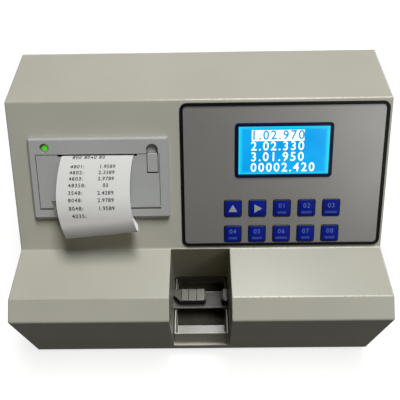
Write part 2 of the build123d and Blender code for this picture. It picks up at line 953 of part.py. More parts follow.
def lead_nut():
    start = carriage_left - nut_flange
    body = along_x(11, start, carriage_left, axis_y, axis_z)
    body += along_x(nut_radius, carriage_left, carriage_left + 8, axis_y, axis_z)
    bore = screw_radius + screw_fit
    body -= along_x(bore, start - 1, carriage_left + 9, axis_y, axis_z)
    for s in (-1, 1):
        body -= along_x(1.6, start - 1, carriage_left + 1, axis_y, axis_z + s * 8)
    return body


def carriage_bushes():
    made = []
    for s in (-1, 1):
        y = axis_y + s * rod_spread
        right = carriage_left + bush_length
        tube = along_x(bush_radius, carriage_left, right, y, axis_z)
        made.append(tube - along_x(rod_radius + run_fit, carriage_left - 1, right + 1, y, axis_z))
    return made


def limit_switches():
    flag = carriage_left + bush_length - 12
    made = []
    for near, facing in ((flag - jaw_open - 0.5, -1), (flag + 4 + jaw_close + 0.5, 1)):
        x = sorted((near + facing * 1.2, near + facing * 7.5))
        body = block(x, (axis_y - 10, axis_y + 10), (bed_top, bed_top + 10))
        tip = sorted((near, near + facing * 1.2))
        body += block(tip, (axis_y - 4, axis_y + 4), (bed_top + 7, bed_top + 10))
        made.append(body)
    return made


def load_cell():
    low, high = axis_z - cell_thick / 2, axis_z + cell_thick / 2
    front = axis_y - 8
    x = (cell_left, cell_left + cell_thick)
    body = block(x, (front, front + cell_length), (low, high))
    middle = front + cell_length / 2
    hole_x = cell_left + cell_thick / 2
    for s in (-1, 1):
        body -= upright(4.4, low - 1, high + 1, hole_x, middle + s * 10)
    body -= block((hole_x - 1, hole_x + 1), (middle - 10, middle + 10), (low - 1, high + 1))
    return body


def cell_bracket():
    back = axis_y - 8 + cell_length
    low = axis_z - cell_thick / 2
    profile = Polyline(
        (back - 26, bed_top),
        (back - 20, low),
        (back, low),
        (back, bed_top),
        close=True,
    )
    body = extrude(Plane.YZ * make_face(profile), cell_thick / 2 + 4, both=True)
    return Pos(cell_left + cell_thick / 2, 0, 0) * body


save("main_cover", main_cover())
save("bay_liner", bay_liner())
save("base_plate", base_plate())
save("rear_panel", rear_panel())
save("rubber_feet", *[rubber_foot(x, y) for x, y in foot_places()])
save("foot_screws", *[foot_screw(x, y) for x, y in foot_places()])
save("cover_screws", *[rear_screw(x, z) for x, z in rear_screw_places()])
save("printer_bezel", printer_bezel())
save("hinge_pin", hinge_pin())
save("printer_case", printer_case())
save("print_head", print_head())
save("printer_door", printer_door())
save("door_latch", door_latch())
save("platen_roller", platen_roller())
save("platen_gear", platen_gear())
save("paper_roll", paper_roll())
save("paper_strip", paper_strip())
save("status_led", status_led())
save("control_plate", control_plate())
save("panel_trim", panel_trim())
save("lcd_frame", lcd_frame())
save("lcd_glass", lcd_glass())
save("lcd_module", lcd_module())
save("key_board", key_board())
save("key_switches", *key_switches())
for number, (x, up) in enumerate(key_places(), 1):
    save("key_" + str(number), key(x, up))
save("standoffs", *standoffs())
save("main_board", *main_board())
save("power_supply", power_supply())
save("mains_inlet", mains_inlet())
save("inlet_pins", *inlet_pins())
save("power_rocker", power_rocker())
save("test_platform", test_platform())
save("waste_tray", waste_tray())
save("moving_jaw", moving_jaw())
save("fixed_jaw", fixed_jaw())
save("mechanism_bed", mechanism_bed())
save("stepper_motor", motor_body())
save("motor_bracket", motor_bracket())
save("motor_shaft", motor_shaft())
save("shaft_coupling", shaft_coupling())
save("lead_screw", lead_screw())
save("screw_bearing", screw_bearing())
save("rod_supports", *rod_supports())
save("guide_rods", *guide_rods())
save("jaw_carriage", jaw_carriage())
save("lead_nut", lead_nut())
save("carriage_bushes", *carriage_bushes())
save("limit_switches", *limit_switches())
save("load_cell", load_cell())
save("cell_bracket", cell_bracket())
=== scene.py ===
import json
import math
import bpy
import bmesh
from mathutils import Matrix, Vector


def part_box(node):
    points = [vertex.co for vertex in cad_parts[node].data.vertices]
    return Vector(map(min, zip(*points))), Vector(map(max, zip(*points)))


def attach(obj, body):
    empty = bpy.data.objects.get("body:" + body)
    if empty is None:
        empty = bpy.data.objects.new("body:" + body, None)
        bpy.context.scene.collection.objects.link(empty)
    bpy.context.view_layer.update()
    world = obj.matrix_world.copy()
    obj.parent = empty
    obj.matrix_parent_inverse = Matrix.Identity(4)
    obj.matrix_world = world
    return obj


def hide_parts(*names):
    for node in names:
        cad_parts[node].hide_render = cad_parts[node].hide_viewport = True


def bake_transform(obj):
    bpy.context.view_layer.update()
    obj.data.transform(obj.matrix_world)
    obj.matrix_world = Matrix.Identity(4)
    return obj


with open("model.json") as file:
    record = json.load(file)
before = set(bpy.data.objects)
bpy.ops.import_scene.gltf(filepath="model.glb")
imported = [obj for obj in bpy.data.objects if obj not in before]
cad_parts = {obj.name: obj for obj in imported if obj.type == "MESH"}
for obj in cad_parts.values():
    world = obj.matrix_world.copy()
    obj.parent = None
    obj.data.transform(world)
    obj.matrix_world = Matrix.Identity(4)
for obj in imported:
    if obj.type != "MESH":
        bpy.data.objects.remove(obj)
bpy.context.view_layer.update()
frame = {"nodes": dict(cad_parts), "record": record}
nodes = frame["nodes"]
mm = 0.001
print("frame loaded,", len(nodes), "nodes")

# where things are on the case, in millimetres, as the drawing has them
case = {
    "half": 101.96,
    "foot": 8.0,
    "ledgeBack": 58.7,
    "ledgeHeight": 81.5,
    "slopeRise": 90.0,
    "slopeRun": 79.9,
}
slopeTurn = math.atan2(case["slopeRise"], case["slopeRun"])


def spot(x, back, up):
    return Vector((x, back - case["half"], up + case["foot"])) * mm


slopeFoot = spot(0, case["ledgeBack"], case["ledgeHeight"])
slopePlane = Matrix.Translation(slopeFoot) @ Matrix.Rotation(slopeTurn, 4, "X")


def onSlope(x, up, out=0.0):
    # a place on the sloped front, and how far it stands out of it
    return slopePlane @ Matrix.Translation((x * mm, up * mm, out * mm))


# small helpers that do what one does by hand
def pickOnly(piece):
    if bpy.context.object and bpy.context.object.mode != "OBJECT":
        bpy.ops.object.mode_set(mode="OBJECT")
    bpy.ops.object.select_all(action="DESELECT")
    piece.select_set(True)
    bpy.context.view_layer.objects.active = piece


def settle(piece, matrix=None):
    if matrix is not None:
        piece.matrix_world = matrix @ piece.matrix_world
        bpy.context.view_layer.update()
    pickOnly(piece)
    bpy.ops.object.transform_apply(location=True, rotation=True, scale=True)
    return piece


def named(name):
    piece = bpy.context.object
    piece.name = name
    piece.data.name = name
    return piece


def modify(piece, kind, **values):
    modifier = piece.modifiers.new(kind.title(), kind)
    for key, value in values.items():
        setattr(modifier, key, value)
    pickOnly(piece)
    bpy.ops.object.modifier_apply(modifier=modifier.name)


def join(pieces, name):
    pickOnly(pieces[0])
    for piece in pieces:
        piece.select_set(True)
    if len(pieces) > 1:
        bpy.ops.object.join()
    return named(name)


def twin(piece, name):
    copy = piece.copy()
    copy.data = piece.data.copy()
    bpy.context.collection.objects.link(copy)
    copy.name = name
    copy.data.name = name
    return copy


def giveFinish(piece, finish):
    piece.data.materials.clear()
    piece.data.materials.append(finish)


def smooth(piece, angle=35):
    pickOnly(piece)
    bpy.ops.object.shade_smooth_by_angle(angle=math.radians(angle))


def pick(piece, kind, test):
    # enter edit mode with only the faces or edges selected that pass the test
    pickOnly(piece)
    bpy.ops.object.mode_set(mode="EDIT")
    bpy.ops.mesh.select_mode(type=kind)
    bpy.ops.mesh.select_all(action="DESELECT")
    mesh = bmesh.from_edit_mesh(piece.data)
    for part in mesh.faces if kind == "FACE" else mesh.edges:
        part.select = test(part)
    mesh.select_flush_mode()
    bmesh.update_edit_mesh(piece.data)


def leaveEdit():
    bpy.ops.object.mode_set(mode="OBJECT")


def roundEdges(piece, offset, segments, test):
    pick(piece, "EDGE", test)
    bpy.ops.mesh.bevel(offset=offset * mm, segments=segments, affect="EDGES")
    leaveEdit()


def span(edge, axis):
    return abs(edge.verts[0].co[axis] - edge.verts[1].co[axis])


def letters(name, body, size, x, y, align="CENTER", thick=0.02, bold=0.0, spacing=1.0):
    # flat figures, made a mesh before they get their place
    bpy.ops.object.text_add(location=(0, 0, 0))
    text = bpy.context.object
    text.data.body = body
    text.data.size = size * mm
    text.data.align_x = align
    text.data.align_y = "CENTER"
    text.data.extrude = thick / 2 * mm
    text.data.offset = bold * mm
    text.data.space_character = spacing
    text.data.resolution_u = 3
    pickOnly(text)
    bpy.ops.object.convert(target="MESH")
    piece = named(name)
    piece.location = (x * mm, y * mm, 0)
    return settle(piece)


# camera
camera = {
    "place": (2.93, -109.05, 390.09),
    "yaw": -0.7606, "down": 54.896, "roll": 1.2557, "lens": 37.69, "sensor": 36,
    "near": 0.01,
}
yaw, down, roll = (math.radians(camera[key]) for key in ("yaw", "down", "roll"))
level = math.cos(down)
ahead = Vector((math.sin(yaw) * level, math.cos(yaw) * level, -math.sin(down)))
right = Vector((math.cos(yaw), -math.sin(yaw), 0))
below = ahead.cross(right)
rightTurned = math.cos(roll) * right + math.sin(roll) * below
belowTurned = -math.sin(roll) * right + math.cos(roll) * below
turned = Matrix((rightTurned, -belowTurned, -ahead)).transposed().to_4x4()
lensData = bpy.data.cameras.new("viewCamera")
lensData.lens = camera["lens"]
lensData.sensor_width = camera["sensor"]
lensData.clip_start = camera["near"]
viewCamera = bpy.data.objects.new("viewCamera", lensData)
viewCamera.matrix_world = Matrix.Translation(spot(*camera["place"])) @ turned
bpy.context.collection.objects.link(viewCamera)
bpy.context.scene.camera = viewCamera
print("camera set")


# finishes
look = {
    "samples": 4,                     # rays of each bevel and gap node
    "patchSpan": (0.3, 0.7),          # the parts of a noise's range that are used
    "slowSpan": (0.35, 0.65),
    "fineSpan": (0.4, 0.75),
    "edgePatchSpan": (0.42, 0.62),
    "paintedShadeSpan": (0.35, 0.85),
    "bendLeaves": (0.990, 0.9985),    # how far a normal looks up as a bend starts, ends
    "bendArrives": (0.89, 0.95),
    "lookingUp": (0.5, 0.9),
    "edgeStart": 0.995,
    "edgePatch": 4.0,
    "fineShare": 0.35,
    "fineDark": 0.9,
    "wornLight": 1.6,
    "paintedShadeDark": 0.25,
}


def setInputs(node, values):
    for socket, value in values.items():
        node.inputs[socket].default_value = value


def startFinish(name, rough, metal=0.0, ior=1.5, specular=0.5, sheen=0.0):
    finish = bpy.data.materials.new(name)
    finish.use_nodes = True
    tree = finish.node_tree
    shader = tree.nodes["Principled BSDF"]
    setInputs(shader, {"Roughness": rough, "Metallic": metal, "IOR": ior,
                       "Specular IOR Level": specular, "Sheen Weight": sheen})
    return finish, tree, shader


def objectSpace(tree, stretch=(1, 1, 1), turn=(0, 0, 0), centre=(0, 0, 0)):
    coordinate = tree.nodes.new("ShaderNodeTexCoord")
    mapping = tree.nodes.new("ShaderNodeMapping")
    mapping.vector_type = "TEXTURE"
    setInputs(mapping, {"Location": centre, "Rotation": turn, "Scale": stretch})
    tree.links.new(coordinate.outputs["Object"], mapping.inputs["Vector"])
    return mapping.outputs["Vector"]


def noise(tree, space, size, detail=3.0, roughness=0.55):
    # size is the pattern's grain in millimetres
    texture = tree.nodes.new("ShaderNodeTexNoise")
    setInputs(texture, {"Scale": 1000.0 / size, "Detail": detail, "Roughness": roughness})
    tree.links.new(space, texture.inputs["Vector"])
    return texture.outputs["Fac"]


def between(tree, factor, low, high, start=0.0, end=1.0):
    ranging = tree.nodes.new("ShaderNodeMapRange")
    setInputs(ranging, {"From Min": start, "From Max": end, "To Min": low, "To Max": high})
    tree.links.new(factor, ranging.inputs["Value"])
    return ranging.outputs["Result"]


def calculate(tree, operation, *values):
    node = tree.nodes.new("ShaderNodeMath")
    node.operation = operation
    for socket, value in zip(node.inputs, values):
        if isinstance(value, float):
            socket.default_value = value
        else:
            tree.links.new(value, socket)
    return node.outputs["Value"]


def axisOf(tree, vector, axis):
    parts = tree.nodes.new("ShaderNodeSeparateXYZ")
    tree.links.new(vector, parts.inputs["Vector"])
    return parts.outputs[axis]


def faceNormal(tree):
    return tree.nodes.new("ShaderNodeNewGeometry").outputs["Normal"]


def roundedNormal(tree, radius):
    # the normal as it would be with the edges rounded
    bevel = tree.nodes.new("ShaderNodeBevel")
    bevel.samples = look["samples"]
    bevel.inputs["Radius"].default_value = radius * mm
    return bevel.outputs["Normal"]


def cellsOf(tree, space, size, feature="F1"):
    cells = tree.nodes.new("ShaderNodeTexVoronoi")
    cells.feature = feature
    setInputs(cells, {"Scale": 1000.0 / size})
    tree.links.new(space, cells.inputs["Vector"])
    return cells


def blendColour(tree, factor, first, second, how="MIX"):
    mixing = tree.nodes.new("ShaderNodeMix")
    mixing.data_type = "RGBA"
    mixing.blend_type = how
    if isinstance(factor, float):
        mixing.inputs[0].default_value = factor
    else:
        tree.links.new(factor, mixing.inputs[0])
    for socket, value in ((6, first), (7, second)):
        if isinstance(value, tuple):
            mixing.inputs[socket].default_value = (*value[:3], 1)
        else:
            tree.links.new(value, mixing.inputs[socket])
    return mixing.outputs[2]


def bumps(tree, height, depth, under=None):
    bump = tree.nodes.new("ShaderNodeBump")
    setInputs(bump, {"Distance": depth * mm, "Strength": 1.0})
    tree.links.new(height, bump.inputs["Height"])
    if under is not None:
        tree.links.new(under, bump.inputs["Normal"])
    return bump.outputs["Normal"]


def paintedShadeMask(tree, reach):
    # 1 out in the open, falling to 0 deep in a gap or an inner corner, where the colour is
    # darkened as painted shade
    hollow = tree.nodes.new("ShaderNodeAmbientOcclusion")
    hollow.samples = look["samples"]
    hollow.inputs["Distance"].default_value = reach * mm
    return between(tree, hollow.outputs["AO"], 0.0, 1.0, *look["paintedShadeSpan"])


def alike(tree, direction):
    # 1 where the surface faces this way, a fixed direction or another normal
    product = tree.nodes.new("ShaderNodeVectorMath")
    product.operation = "DOT_PRODUCT"
    tree.links.new(faceNormal(tree), product.inputs[0])
    if isinstance(direction, Vector):
        product.inputs[1].default_value = direction
    else:
        tree.links.new(direction, product.inputs[1])
    return product.outputs["Value"]


def edgeMask(tree, radius, sharp=6.0):
    # how much a rounded edge would lean away from the face: edges are painted lighter
    # there, as wear and as a painted highlight
    straight = alike(tree, roundedNormal(tree, radius))
    leaning = 1.0 - 1.0 / sharp
    return between(tree, straight, 1.0, 0.0, leaning, look["edgeStart"])


def shade(colour, amount):
    return tuple(min(1.0, part * amount) for part in colour)


def mottled(tree, pattern, spanName, colour, amount):
    # a little darker and lighter from place to place
    factor = between(tree, pattern, 0.0, 1.0, *look[spanName])
    return blendColour(tree, factor, shade(colour, 1 - amount), shade(colour, 1 + amount))


def plainFinish(name, colour, rough=0.45, grain=0.5, bump=0.01, patch=25.0,
                patchAmount=0.06, roughSpread=0.08, stretch=(1, 1, 1), wearAndHighlight=0.0,
                wearAndHighlightColour=None, wearAndHighlightRadius=0.3, wearAndHighlightLeast=0.0, paintedShadeReach=0.0, soft=0.0,
                **shaderValues):
    finish, tree, shader = startFinish(name, rough, **shaderValues)
    space = objectSpace(tree)
    grainSpace = objectSpace(tree, stretch)
    patches = noise(tree, space, patch, 4.0)
    tone = mottled(tree, patches, "patchSpan", colour, patchAmount)
    fine = noise(tree, grainSpace, grain, 2.0)
    share = between(tree, fine, 0.0, look["fineShare"], *look["fineSpan"])
    tone = blendColour(tree, share, tone, shade(colour, look["fineDark"]))
    # edges painted lighter: wear on most finishes, a painted highlight on the jaws and the
    # platform
    if wearAndHighlight:
        edgePatches = noise(tree, space, look["edgePatch"], 5.0, 0.7)
        edgePatches = between(tree, edgePatches, wearAndHighlightLeast, wearAndHighlight, *look["edgePatchSpan"])
        mask = calculate(tree, "MULTIPLY", edgeMask(tree, wearAndHighlightRadius), edgePatches)
        wearAndHighlightTone = wearAndHighlightColour or shade(colour, look["wornLight"])
        tone = blendColour(tree, mask, tone, wearAndHighlightTone)
    # painted shade: darker in gaps and inner corners
    if paintedShadeReach:
        tone = blendColour(tree, paintedShadeMask(tree, paintedShadeReach), shade(colour, look["paintedShadeDark"]), tone)
    tree.links.new(tone, shader.inputs["Base Color"])
    spread = noise(tree, grainSpace, grain * 3, 3.0)
    spread = between(tree, spread, rough - roughSpread, rough + roughSpread,
                     *look["patchSpan"])
    tree.links.new(spread, shader.inputs["Roughness"])
    under = roundedNormal(tree, soft) if soft else None
    tree.links.new(bumps(tree, fine, bump, under), shader.inputs["Normal"])
    return finish


def darkBelow(finish, level, soft, amount):
    # the colour falls off under a height, case millimetres
    tree = finish.node_tree
    shader = tree.nodes["Principled BSDF"]
    tone = shader.inputs["Base Color"].links[0].from_socket
    up = axisOf(tree, objectSpace(tree), "Z")
    edge = (level + case["foot"]) * mm
    factor = between(tree, up, amount, 1.0, edge - soft * mm, edge)
    tone = blendColour(tree, factor, (0.0, 0.0, 0.0), tone)
    tree.links.new(tone, shader.inputs["Base Color"])


def bendMask(tree, amount):
    # the rounded bends that turn from level to sloping, where a highlight is painted
    up = axisOf(tree, faceNormal(tree), "Z")
    leaving = between(tree, up, 1.0, 0.0, *look["bendLeaves"])
    arriving = between(tree, up, 0.0, 1.0, *look["bendArrives"])
    bend = calculate(tree, "MULTIPLY", leaving, arriving)
    return calculate(tree, "MULTIPLY", bend, amount)


def levelMask(tree, space, level):
    # 1 on faces that look up and lie below the level
    lookingUp = axisOf(tree, faceNormal(tree), "Z")
    lookingUp = between(tree, lookingUp, 0.0, 1.0, *look["lookingUp"])
    height = axisOf(tree, space, "Z")
    low = between(tree, height, 1.0, 0.0, level * mm, (level + 1.0) * mm)
    return calculate(tree, "MULTIPLY", lookingUp, low)


def makePaint(name, values):
    # powder coat: rounded orange-peel cells, a few seeds, a faint change of tone
    colour, rough, spread = values["colour"], values["rough"], values["roughSpread"]
    finish, tree, shader = startFinish(
        name, rough, ior=values["ior"], specular=values["specular"])
    space = objectSpace(tree)
    cells = cellsOf(tree, space, values["peel"], "SMOOTH_F1")
    cells.inputs["Smoothness"].default_value = 1.0
    peel = noise(tree, space, values["peel"] * values["peelWave"], 2.0, 0.5)
    height = between(tree, cells.outputs["Distance"], 0.0, values["cellShare"])
    height = calculate(tree, "ADD", height, peel)
    slow = noise(tree, space, values["patch"], 3.0)
    tone = mottled(tree, slow, "slowSpan", colour, values["patchAmount"])
    seeds = noise(tree, space, values["seed"], 1.0, 0.4)
    seeds = between(tree, seeds, 0.0, values["seedShare"], *values["seedSpan"])
    tone = blendColour(tree, seeds, tone, shade(colour, values["seedLight"]))
    # edges painted lighter in patches: wear, and a painted highlight along the edges
    edgePatches = noise(tree, space, values["edgePatch"], 6.0, 0.75)
    edgePatches = between(tree, edgePatches, values["edgeLeast"], 1.0, *values["edgePatchSpan"])
    edges = edgeMask(tree, values["edgeWide"], values["edgeSharp"])
    edges = calculate(tree, "MULTIPLY", edges, edgePatches)
    tone = blendColour(tree, edges, tone, shade(colour, values["edge"]))
    # painted highlight along the rounded bends, broken up by noise
    if values["bend"]:
        glints = noise(tree, space, values["glint"], 5.0, 0.8)
        glints = between(tree, glints, values["bendLeast"], 1.0, *values["glintSpan"])
        # the painted highlight is stronger towards the right
        glintSide = between(tree, axisOf(tree, space, "X"), *values["bendAcross"])
        glintShare = calculate(tree, "MULTIPLY", glints, glintSide)
        bright = shade(colour, values["bend"])
        tone = blendColour(tree, bendMask(tree, glintShare), tone, bright)
    # upward faces below a height are painted darker
    if values["lowFaceDark"]:
        lowFaces = levelMask(tree, space, values["lowFaceLevel"])
        tone = blendColour(tree, lowFaces, tone, shade(colour, values["lowFaceDark"]))
    tree.links.new(tone, shader.inputs["Base Color"])
    rounded = edgeMask(tree, values["round"], values["roundSharp"])
    slow = noise(tree, space, values["roughPatch"], 3.0)
    slow = between(tree, slow, rough - spread, rough + spread, *look["patchSpan"])
    rubbed = calculate(tree, "MULTIPLY_ADD", rounded, -values["edgeRough"], slow)
    tree.links.new(rubbed, shader.inputs["Roughness"])
    under = roundedNormal(tree, values["round"])
    tree.links.new(bumps(tree, height, values["depth"], under), shader.inputs["Normal"])
    return finish


# sizes in millimetres; a lightness of 1 is the paint's own colour
paintValues = {
    "colour": (0.53, 0.525, 0.455),
    "rough": 0.30,
    "roughSpread": 0.012,
    "roughPatch": 70,
    "specular": 0.42,
    "ior": 1.48,
    "peel": 0.9,
    "peelWave": 2.2,
    "cellShare": 0.5,
    "depth": 0.03,
    "round": 1.4,
    "roundSharp": 20.0,
    "patch": 90,
    "patchAmount": 0.03,
    "seed": 0.35,
    "seedShare": 0.5,
    "seedSpan": (0.64, 0.76),
    "seedLight": 1.16,
    "edgePatch": 3.5,
    "edgePatchSpan": (0.42, 0.64),
    # edges painted this much lighter, as wear and as a painted highlight
    "edge": 1.6,
    "edgeRough": 0.17,
    "edgeWide": 0.8,
    "edgeSharp": 11.0,
    "edgeLeast": 0.35,
    # painted highlight on the rounded bends, this much lighter
    "bend": 1.85,
    "bendLeast": 0.3,
    "bendAcross": (0.15, 1.0, -0.06, 0.02),    # share left and right of these x, metres
    "glint": 2.4,
    "glintSpan": (0.40, 0.60),
    "lowFaceDark": 0.0,
    "lowFaceLevel": 0.0,
}
linerValues = dict(paintValues, colour=(0.48, 0.465, 0.37), edge=1.5)
# the tray's rims get a strong painted highlight; its upward faces below 20 mm are painted
# darker
trayValues = dict(
    paintValues, colour=(0.40, 0.39, 0.33), rough=0.26, specular=0.7, round=0.35,
    edge=2.3, edgeWide=0.45, edgeSharp=6.0, edgeLeast=0.7, bend=0.0, lowFaceDark=0.45,
    lowFaceLevel=20.0)
finishes = {
    "housing_paint": makePaint("housingPaint", paintValues),
    "liner_paint": makePaint("linerPaint", linerValues),
}
trayPaint = makePaint("trayPaint", trayValues)

streak = {"x": (12, 1, 1), "y": (1, 12, 1)}
plainFinishes = {
    "zinc_sheet": dict(
        name="zincSheet", colour=(0.56, 0.57, 0.56), rough=0.38, bump=0.004, patch=9.0,
        patchAmount=0.14, roughSpread=0.1, metal=1.0, wearAndHighlight=0.4),
    "rubber_black": dict(
        name="blackRubber", colour=(0.022, 0.022, 0.023), rough=0.68, grain=0.4,
        bump=0.02, patch=12.0, patchAmount=0.15, specular=0.35, wearAndHighlight=0.5,
        wearAndHighlightColour=(0.08, 0.08, 0.08)),
    "bright_screws": dict(
        name="brightPlate", colour=(0.72, 0.71, 0.69), rough=0.22, grain=0.3,
        bump=0.003, patch=3.0, patchAmount=0.08, metal=1.0),
    # painted shade in the printer's gaps and inner corners
    "printer_grey": dict(
        name="printerGrey", colour=(0.50, 0.515, 0.515), rough=0.42, grain=0.45,
        bump=0.012, patch=30.0, patchAmount=0.03, roughSpread=0.06, specular=0.4,
        paintedShadeReach=1.6),
    "printer_black": dict(
        name="printerBlack", colour=(0.03, 0.03, 0.032), rough=0.5, bump=0.012,
        patch=20.0, patchAmount=0.1, roughSpread=0.06, wearAndHighlight=0.3,
        wearAndHighlightColour=(0.09, 0.09, 0.09)),
    "machined_aluminium": dict(
        name="milledAluminium", colour=(0.62, 0.62, 0.62), rough=0.33, grain=0.35,
        bump=0.006, patch=14.0, patchAmount=0.05, stretch=streak["x"], metal=1.0,
        wearAndHighlight=0.3),
    "nylon_white": dict(
        name="whiteNylon", colour=(0.66, 0.65, 0.59), bump=0.008, patch=6.0,
        patchAmount=0.04, roughSpread=0.06),
    "module_black": dict(
        name="mouldedBlack", colour=(0.02, 0.02, 0.021), rough=0.42, grain=0.4,
        bump=0.014, patch=15.0, patchAmount=0.12, roughSpread=0.07, wearAndHighlight=0.4,
        wearAndHighlightColour=(0.07, 0.07, 0.07)),
    "trim_black": dict(
        name="trimBlack", colour=(0.004, 0.0045, 0.006), rough=0.36, grain=0.6,
        bump=0.004, patch=20.0, patchAmount=0.2, roughSpread=0.06, specular=0.2,
        wearAndHighlight=0.2, wearAndHighlightColour=(0.03, 0.032, 0.038)),
    "lcd_navy": dict(
        name="displayNavy", colour=(0.0015, 0.0045, 0.042), rough=0.34, grain=0.4,
        bump=0.004, patch=20.0, patchAmount=0.2, roughSpread=0.06, specular=0.25,
        wearAndHighlight=0.25, wearAndHighlightColour=(0.01, 0.02, 0.16)),
    "brass_parts": dict(
        name="turnedBrass", colour=(0.66, 0.47, 0.2), rough=0.3, grain=0.25, bump=0.004,
        patch=5.0, patchAmount=0.1, stretch=streak["y"], metal=1.0),
    "machined_steel": dict(
        name="groundSteel", colour=(0.34, 0.335, 0.32), rough=0.36, grain=0.3,
        bump=0.006, patch=7.0, patchAmount=0.1, stretch=streak["y"], metal=1.0,
        wearAndHighlight=0.7, wearAndHighlightColour=(0.82, 0.8, 0.76), wearAndHighlightRadius=0.35),
    "tray_steel": dict(
        name="brushedSheet", colour=(0.36, 0.355, 0.33), rough=0.34, grain=0.25,
        bump=0.006, patch=18.0, stretch=streak["x"], metal=1.0, wearAndHighlight=0.7,
        wearAndHighlightColour=(0.9, 0.88, 0.84), wearAndHighlightRadius=0.4),
    "motor_black": dict(
        name="motorBlack", colour=(0.025, 0.025, 0.027), rough=0.4, patch=12.0,
        patchAmount=0.1, wearAndHighlight=0.6, wearAndHighlightColour=(0.3, 0.3, 0.3)),
    "board_green": dict(
        name="boardGreen", colour=(0.012, 0.11, 0.05), rough=0.32, grain=1.6, bump=0.02,
        patch=4.0, patchAmount=0.35, specular=0.55),
    "key_blue": dict(
        name="keyRim", colour=(0.004, 0.006, 0.03), rough=0.4, grain=0.4, bump=0.006,
        patch=6.0, patchAmount=0.1, roughSpread=0.06),
}
for slotName, values in plainFinishes.items():
    finishes[slotName] = plainFinish(**values)

# jaw steel: a painted highlight along its edges, painted shade in its gaps and corners
jawSteel = plainFinish(
    name="jawSteel", colour=(0.085, 0.082, 0.073), rough=0.38, grain=0.3, bump=0.008,
    patch=3.5, patchAmount=0.14, roughSpread=0.05, metal=0.6, wearAndHighlight=1.0,
    wearAndHighlightColour=(0.85, 0.83, 0.78), wearAndHighlightRadius=0.55, wearAndHighlightLeast=0.5, paintedShadeReach=0.9, soft=0.5)
# the body of the jaw below its teeth is painted darker, as painted shade
darkBelow(jawSteel, level=36.2, soft=0.4, amount=0.4)
# platform: a painted highlight along its edges, painted shade in gaps and under the jaws
platformGrey = plainFinish(
    name="platformGrey", colour=(0.06, 0.057, 0.053), grain=0.35, bump=0.006, patch=9.0,
    roughSpread=0.05, specular=0.4, wearAndHighlight=1.0, wearAndHighlightColour=(0.8, 0.79, 0.76),
    wearAndHighlightRadius=1.8, wearAndHighlightLeast=0.75, paintedShadeReach=5.0, soft=0.9)
keyFilm = plainFinish(
    name="keyFilm", colour=(0.0015, 0.013, 0.30), rough=0.42, grain=0.35, bump=0.006,
    patch=8.0, patchAmount=0.08, roughSpread=0.05, specular=0.12)
keyInk = plainFinish(
    name="keyInk", colour=(0.42, 0.44, 0.46), rough=0.5, grain=0.3, bump=0.004,
    patch=3.0, roughSpread=0.05)
keyInkFaint = plainFinish(
    name="keyInkFaint", colour=(0.12, 0.18, 0.52), rough=0.5, grain=0.3, bump=0.004,
    patch=3.0, roughSpread=0.05)
blackInk = plainFinish(
    name="blackInk", colour=(0.02, 0.02, 0.022), rough=0.6, grain=0.2, bump=0.002,
    patch=1.5, patchAmount=0.25, roughSpread=0.05)
# black of the sheet that stands for the shadow on the tray's floor
shadowSheetBlack = plainFinish(
    name="shadowSheetBlack", colour=(0.03, 0.028, 0.018), rough=0.6, grain=0.8, bump=0.06,
    patch=8.0, patchAmount=0.2, specular=0.3)


def makeSilver(name, values):
    # printed film over aluminium: fine metallic flake, a slow change of tone
    colour, rough, spread = values["colour"], values["rough"], values["roughSpread"]
    finish, tree, shader = startFinish(name, rough, metal=values["metal"], specular=0.4)
    space = objectSpace(tree)
    flake = cellsOf(tree, space, values["flake"])
    grey = tree.nodes.new("ShaderNodeRGBToBW")
    tree.links.new(flake.outputs["Color"], grey.inputs["Color"])
    slow = noise(tree, space, values["patch"], 2.0)
    tone = mottled(tree, slow, "slowSpan", colour, values["patchAmount"])
    glitter = between(tree, grey.outputs["Val"], 0.0, values["flakeShare"])
    tone = blendColour(tree, glitter, tone, shade(colour, values["flakeLight"]))
    tree.links.new(tone, shader.inputs["Base Color"])
    spread = between(tree, grey.outputs["Val"], rough - spread, rough + spread)
    tree.links.new(spread, shader.inputs["Roughness"])
    relief = bumps(tree, flake.outputs["Distance"], values["depth"])
    tree.links.new(relief, shader.inputs["Normal"])
    return finish


finishes["panel_silver"] = makeSilver("silverFilm", {
    "colour": (0.455, 0.45, 0.445),
    "rough": 0.38, "roughSpread": 0.06, "metal": 0.72, "patch": 70, "patchAmount": 0.05,
    "flake": 0.35, "flakeShare": 0.3, "flakeLight": 1.25, "depth": 0.004,
})

display = {
    "x": 66.6,
    "up": 80.9,
    "wide": 71.0,
    "high": 39.5,
    "border": 1.1,
    "glow": 4.5,          # width of the paler band along the edges
    "dot": 0.55,
    "dotGap": 0.035,
    "power": 0.9,
    "rough": 0.16,
    "cloud": 26,
    "ease": 0.15,         # share of the band that shows no change yet
    "deep": (0.0, 0.35, 0.85),
    "light": (0.005, 0.43, 0.93),
    "edge": (0.02, 0.80, 1.0),
    "between": (0.86, 0.9, 0.94, 1),
    "dark": (0.003, 0.006, 0.05),
    "unlit": (0.0, 0.02, 0.05),
    "unlitShare": 0.85,
    # figures
    "out": 1.53, "size": 9.8, "spacing": 1.24, "bold": 0.1, "barBold": 0.2,
    "left": -26.0,
    "rows": (
        ("1.02.970", 11.7),
        ("2.02.330", 3.2),
        ("3.01.950", -5.2),
        ("00002.420", -13.6),
    ),
    # the bar behind the first row
    "barX": -4.8, "barUp": 11.7, "barWide": 41.0, "barHigh": 8.4, "barCorner": 0.05,
    "barLow": -0.01, "barThick": 0.02, "barSoft": 0.005, "barSunk": -0.03,
}


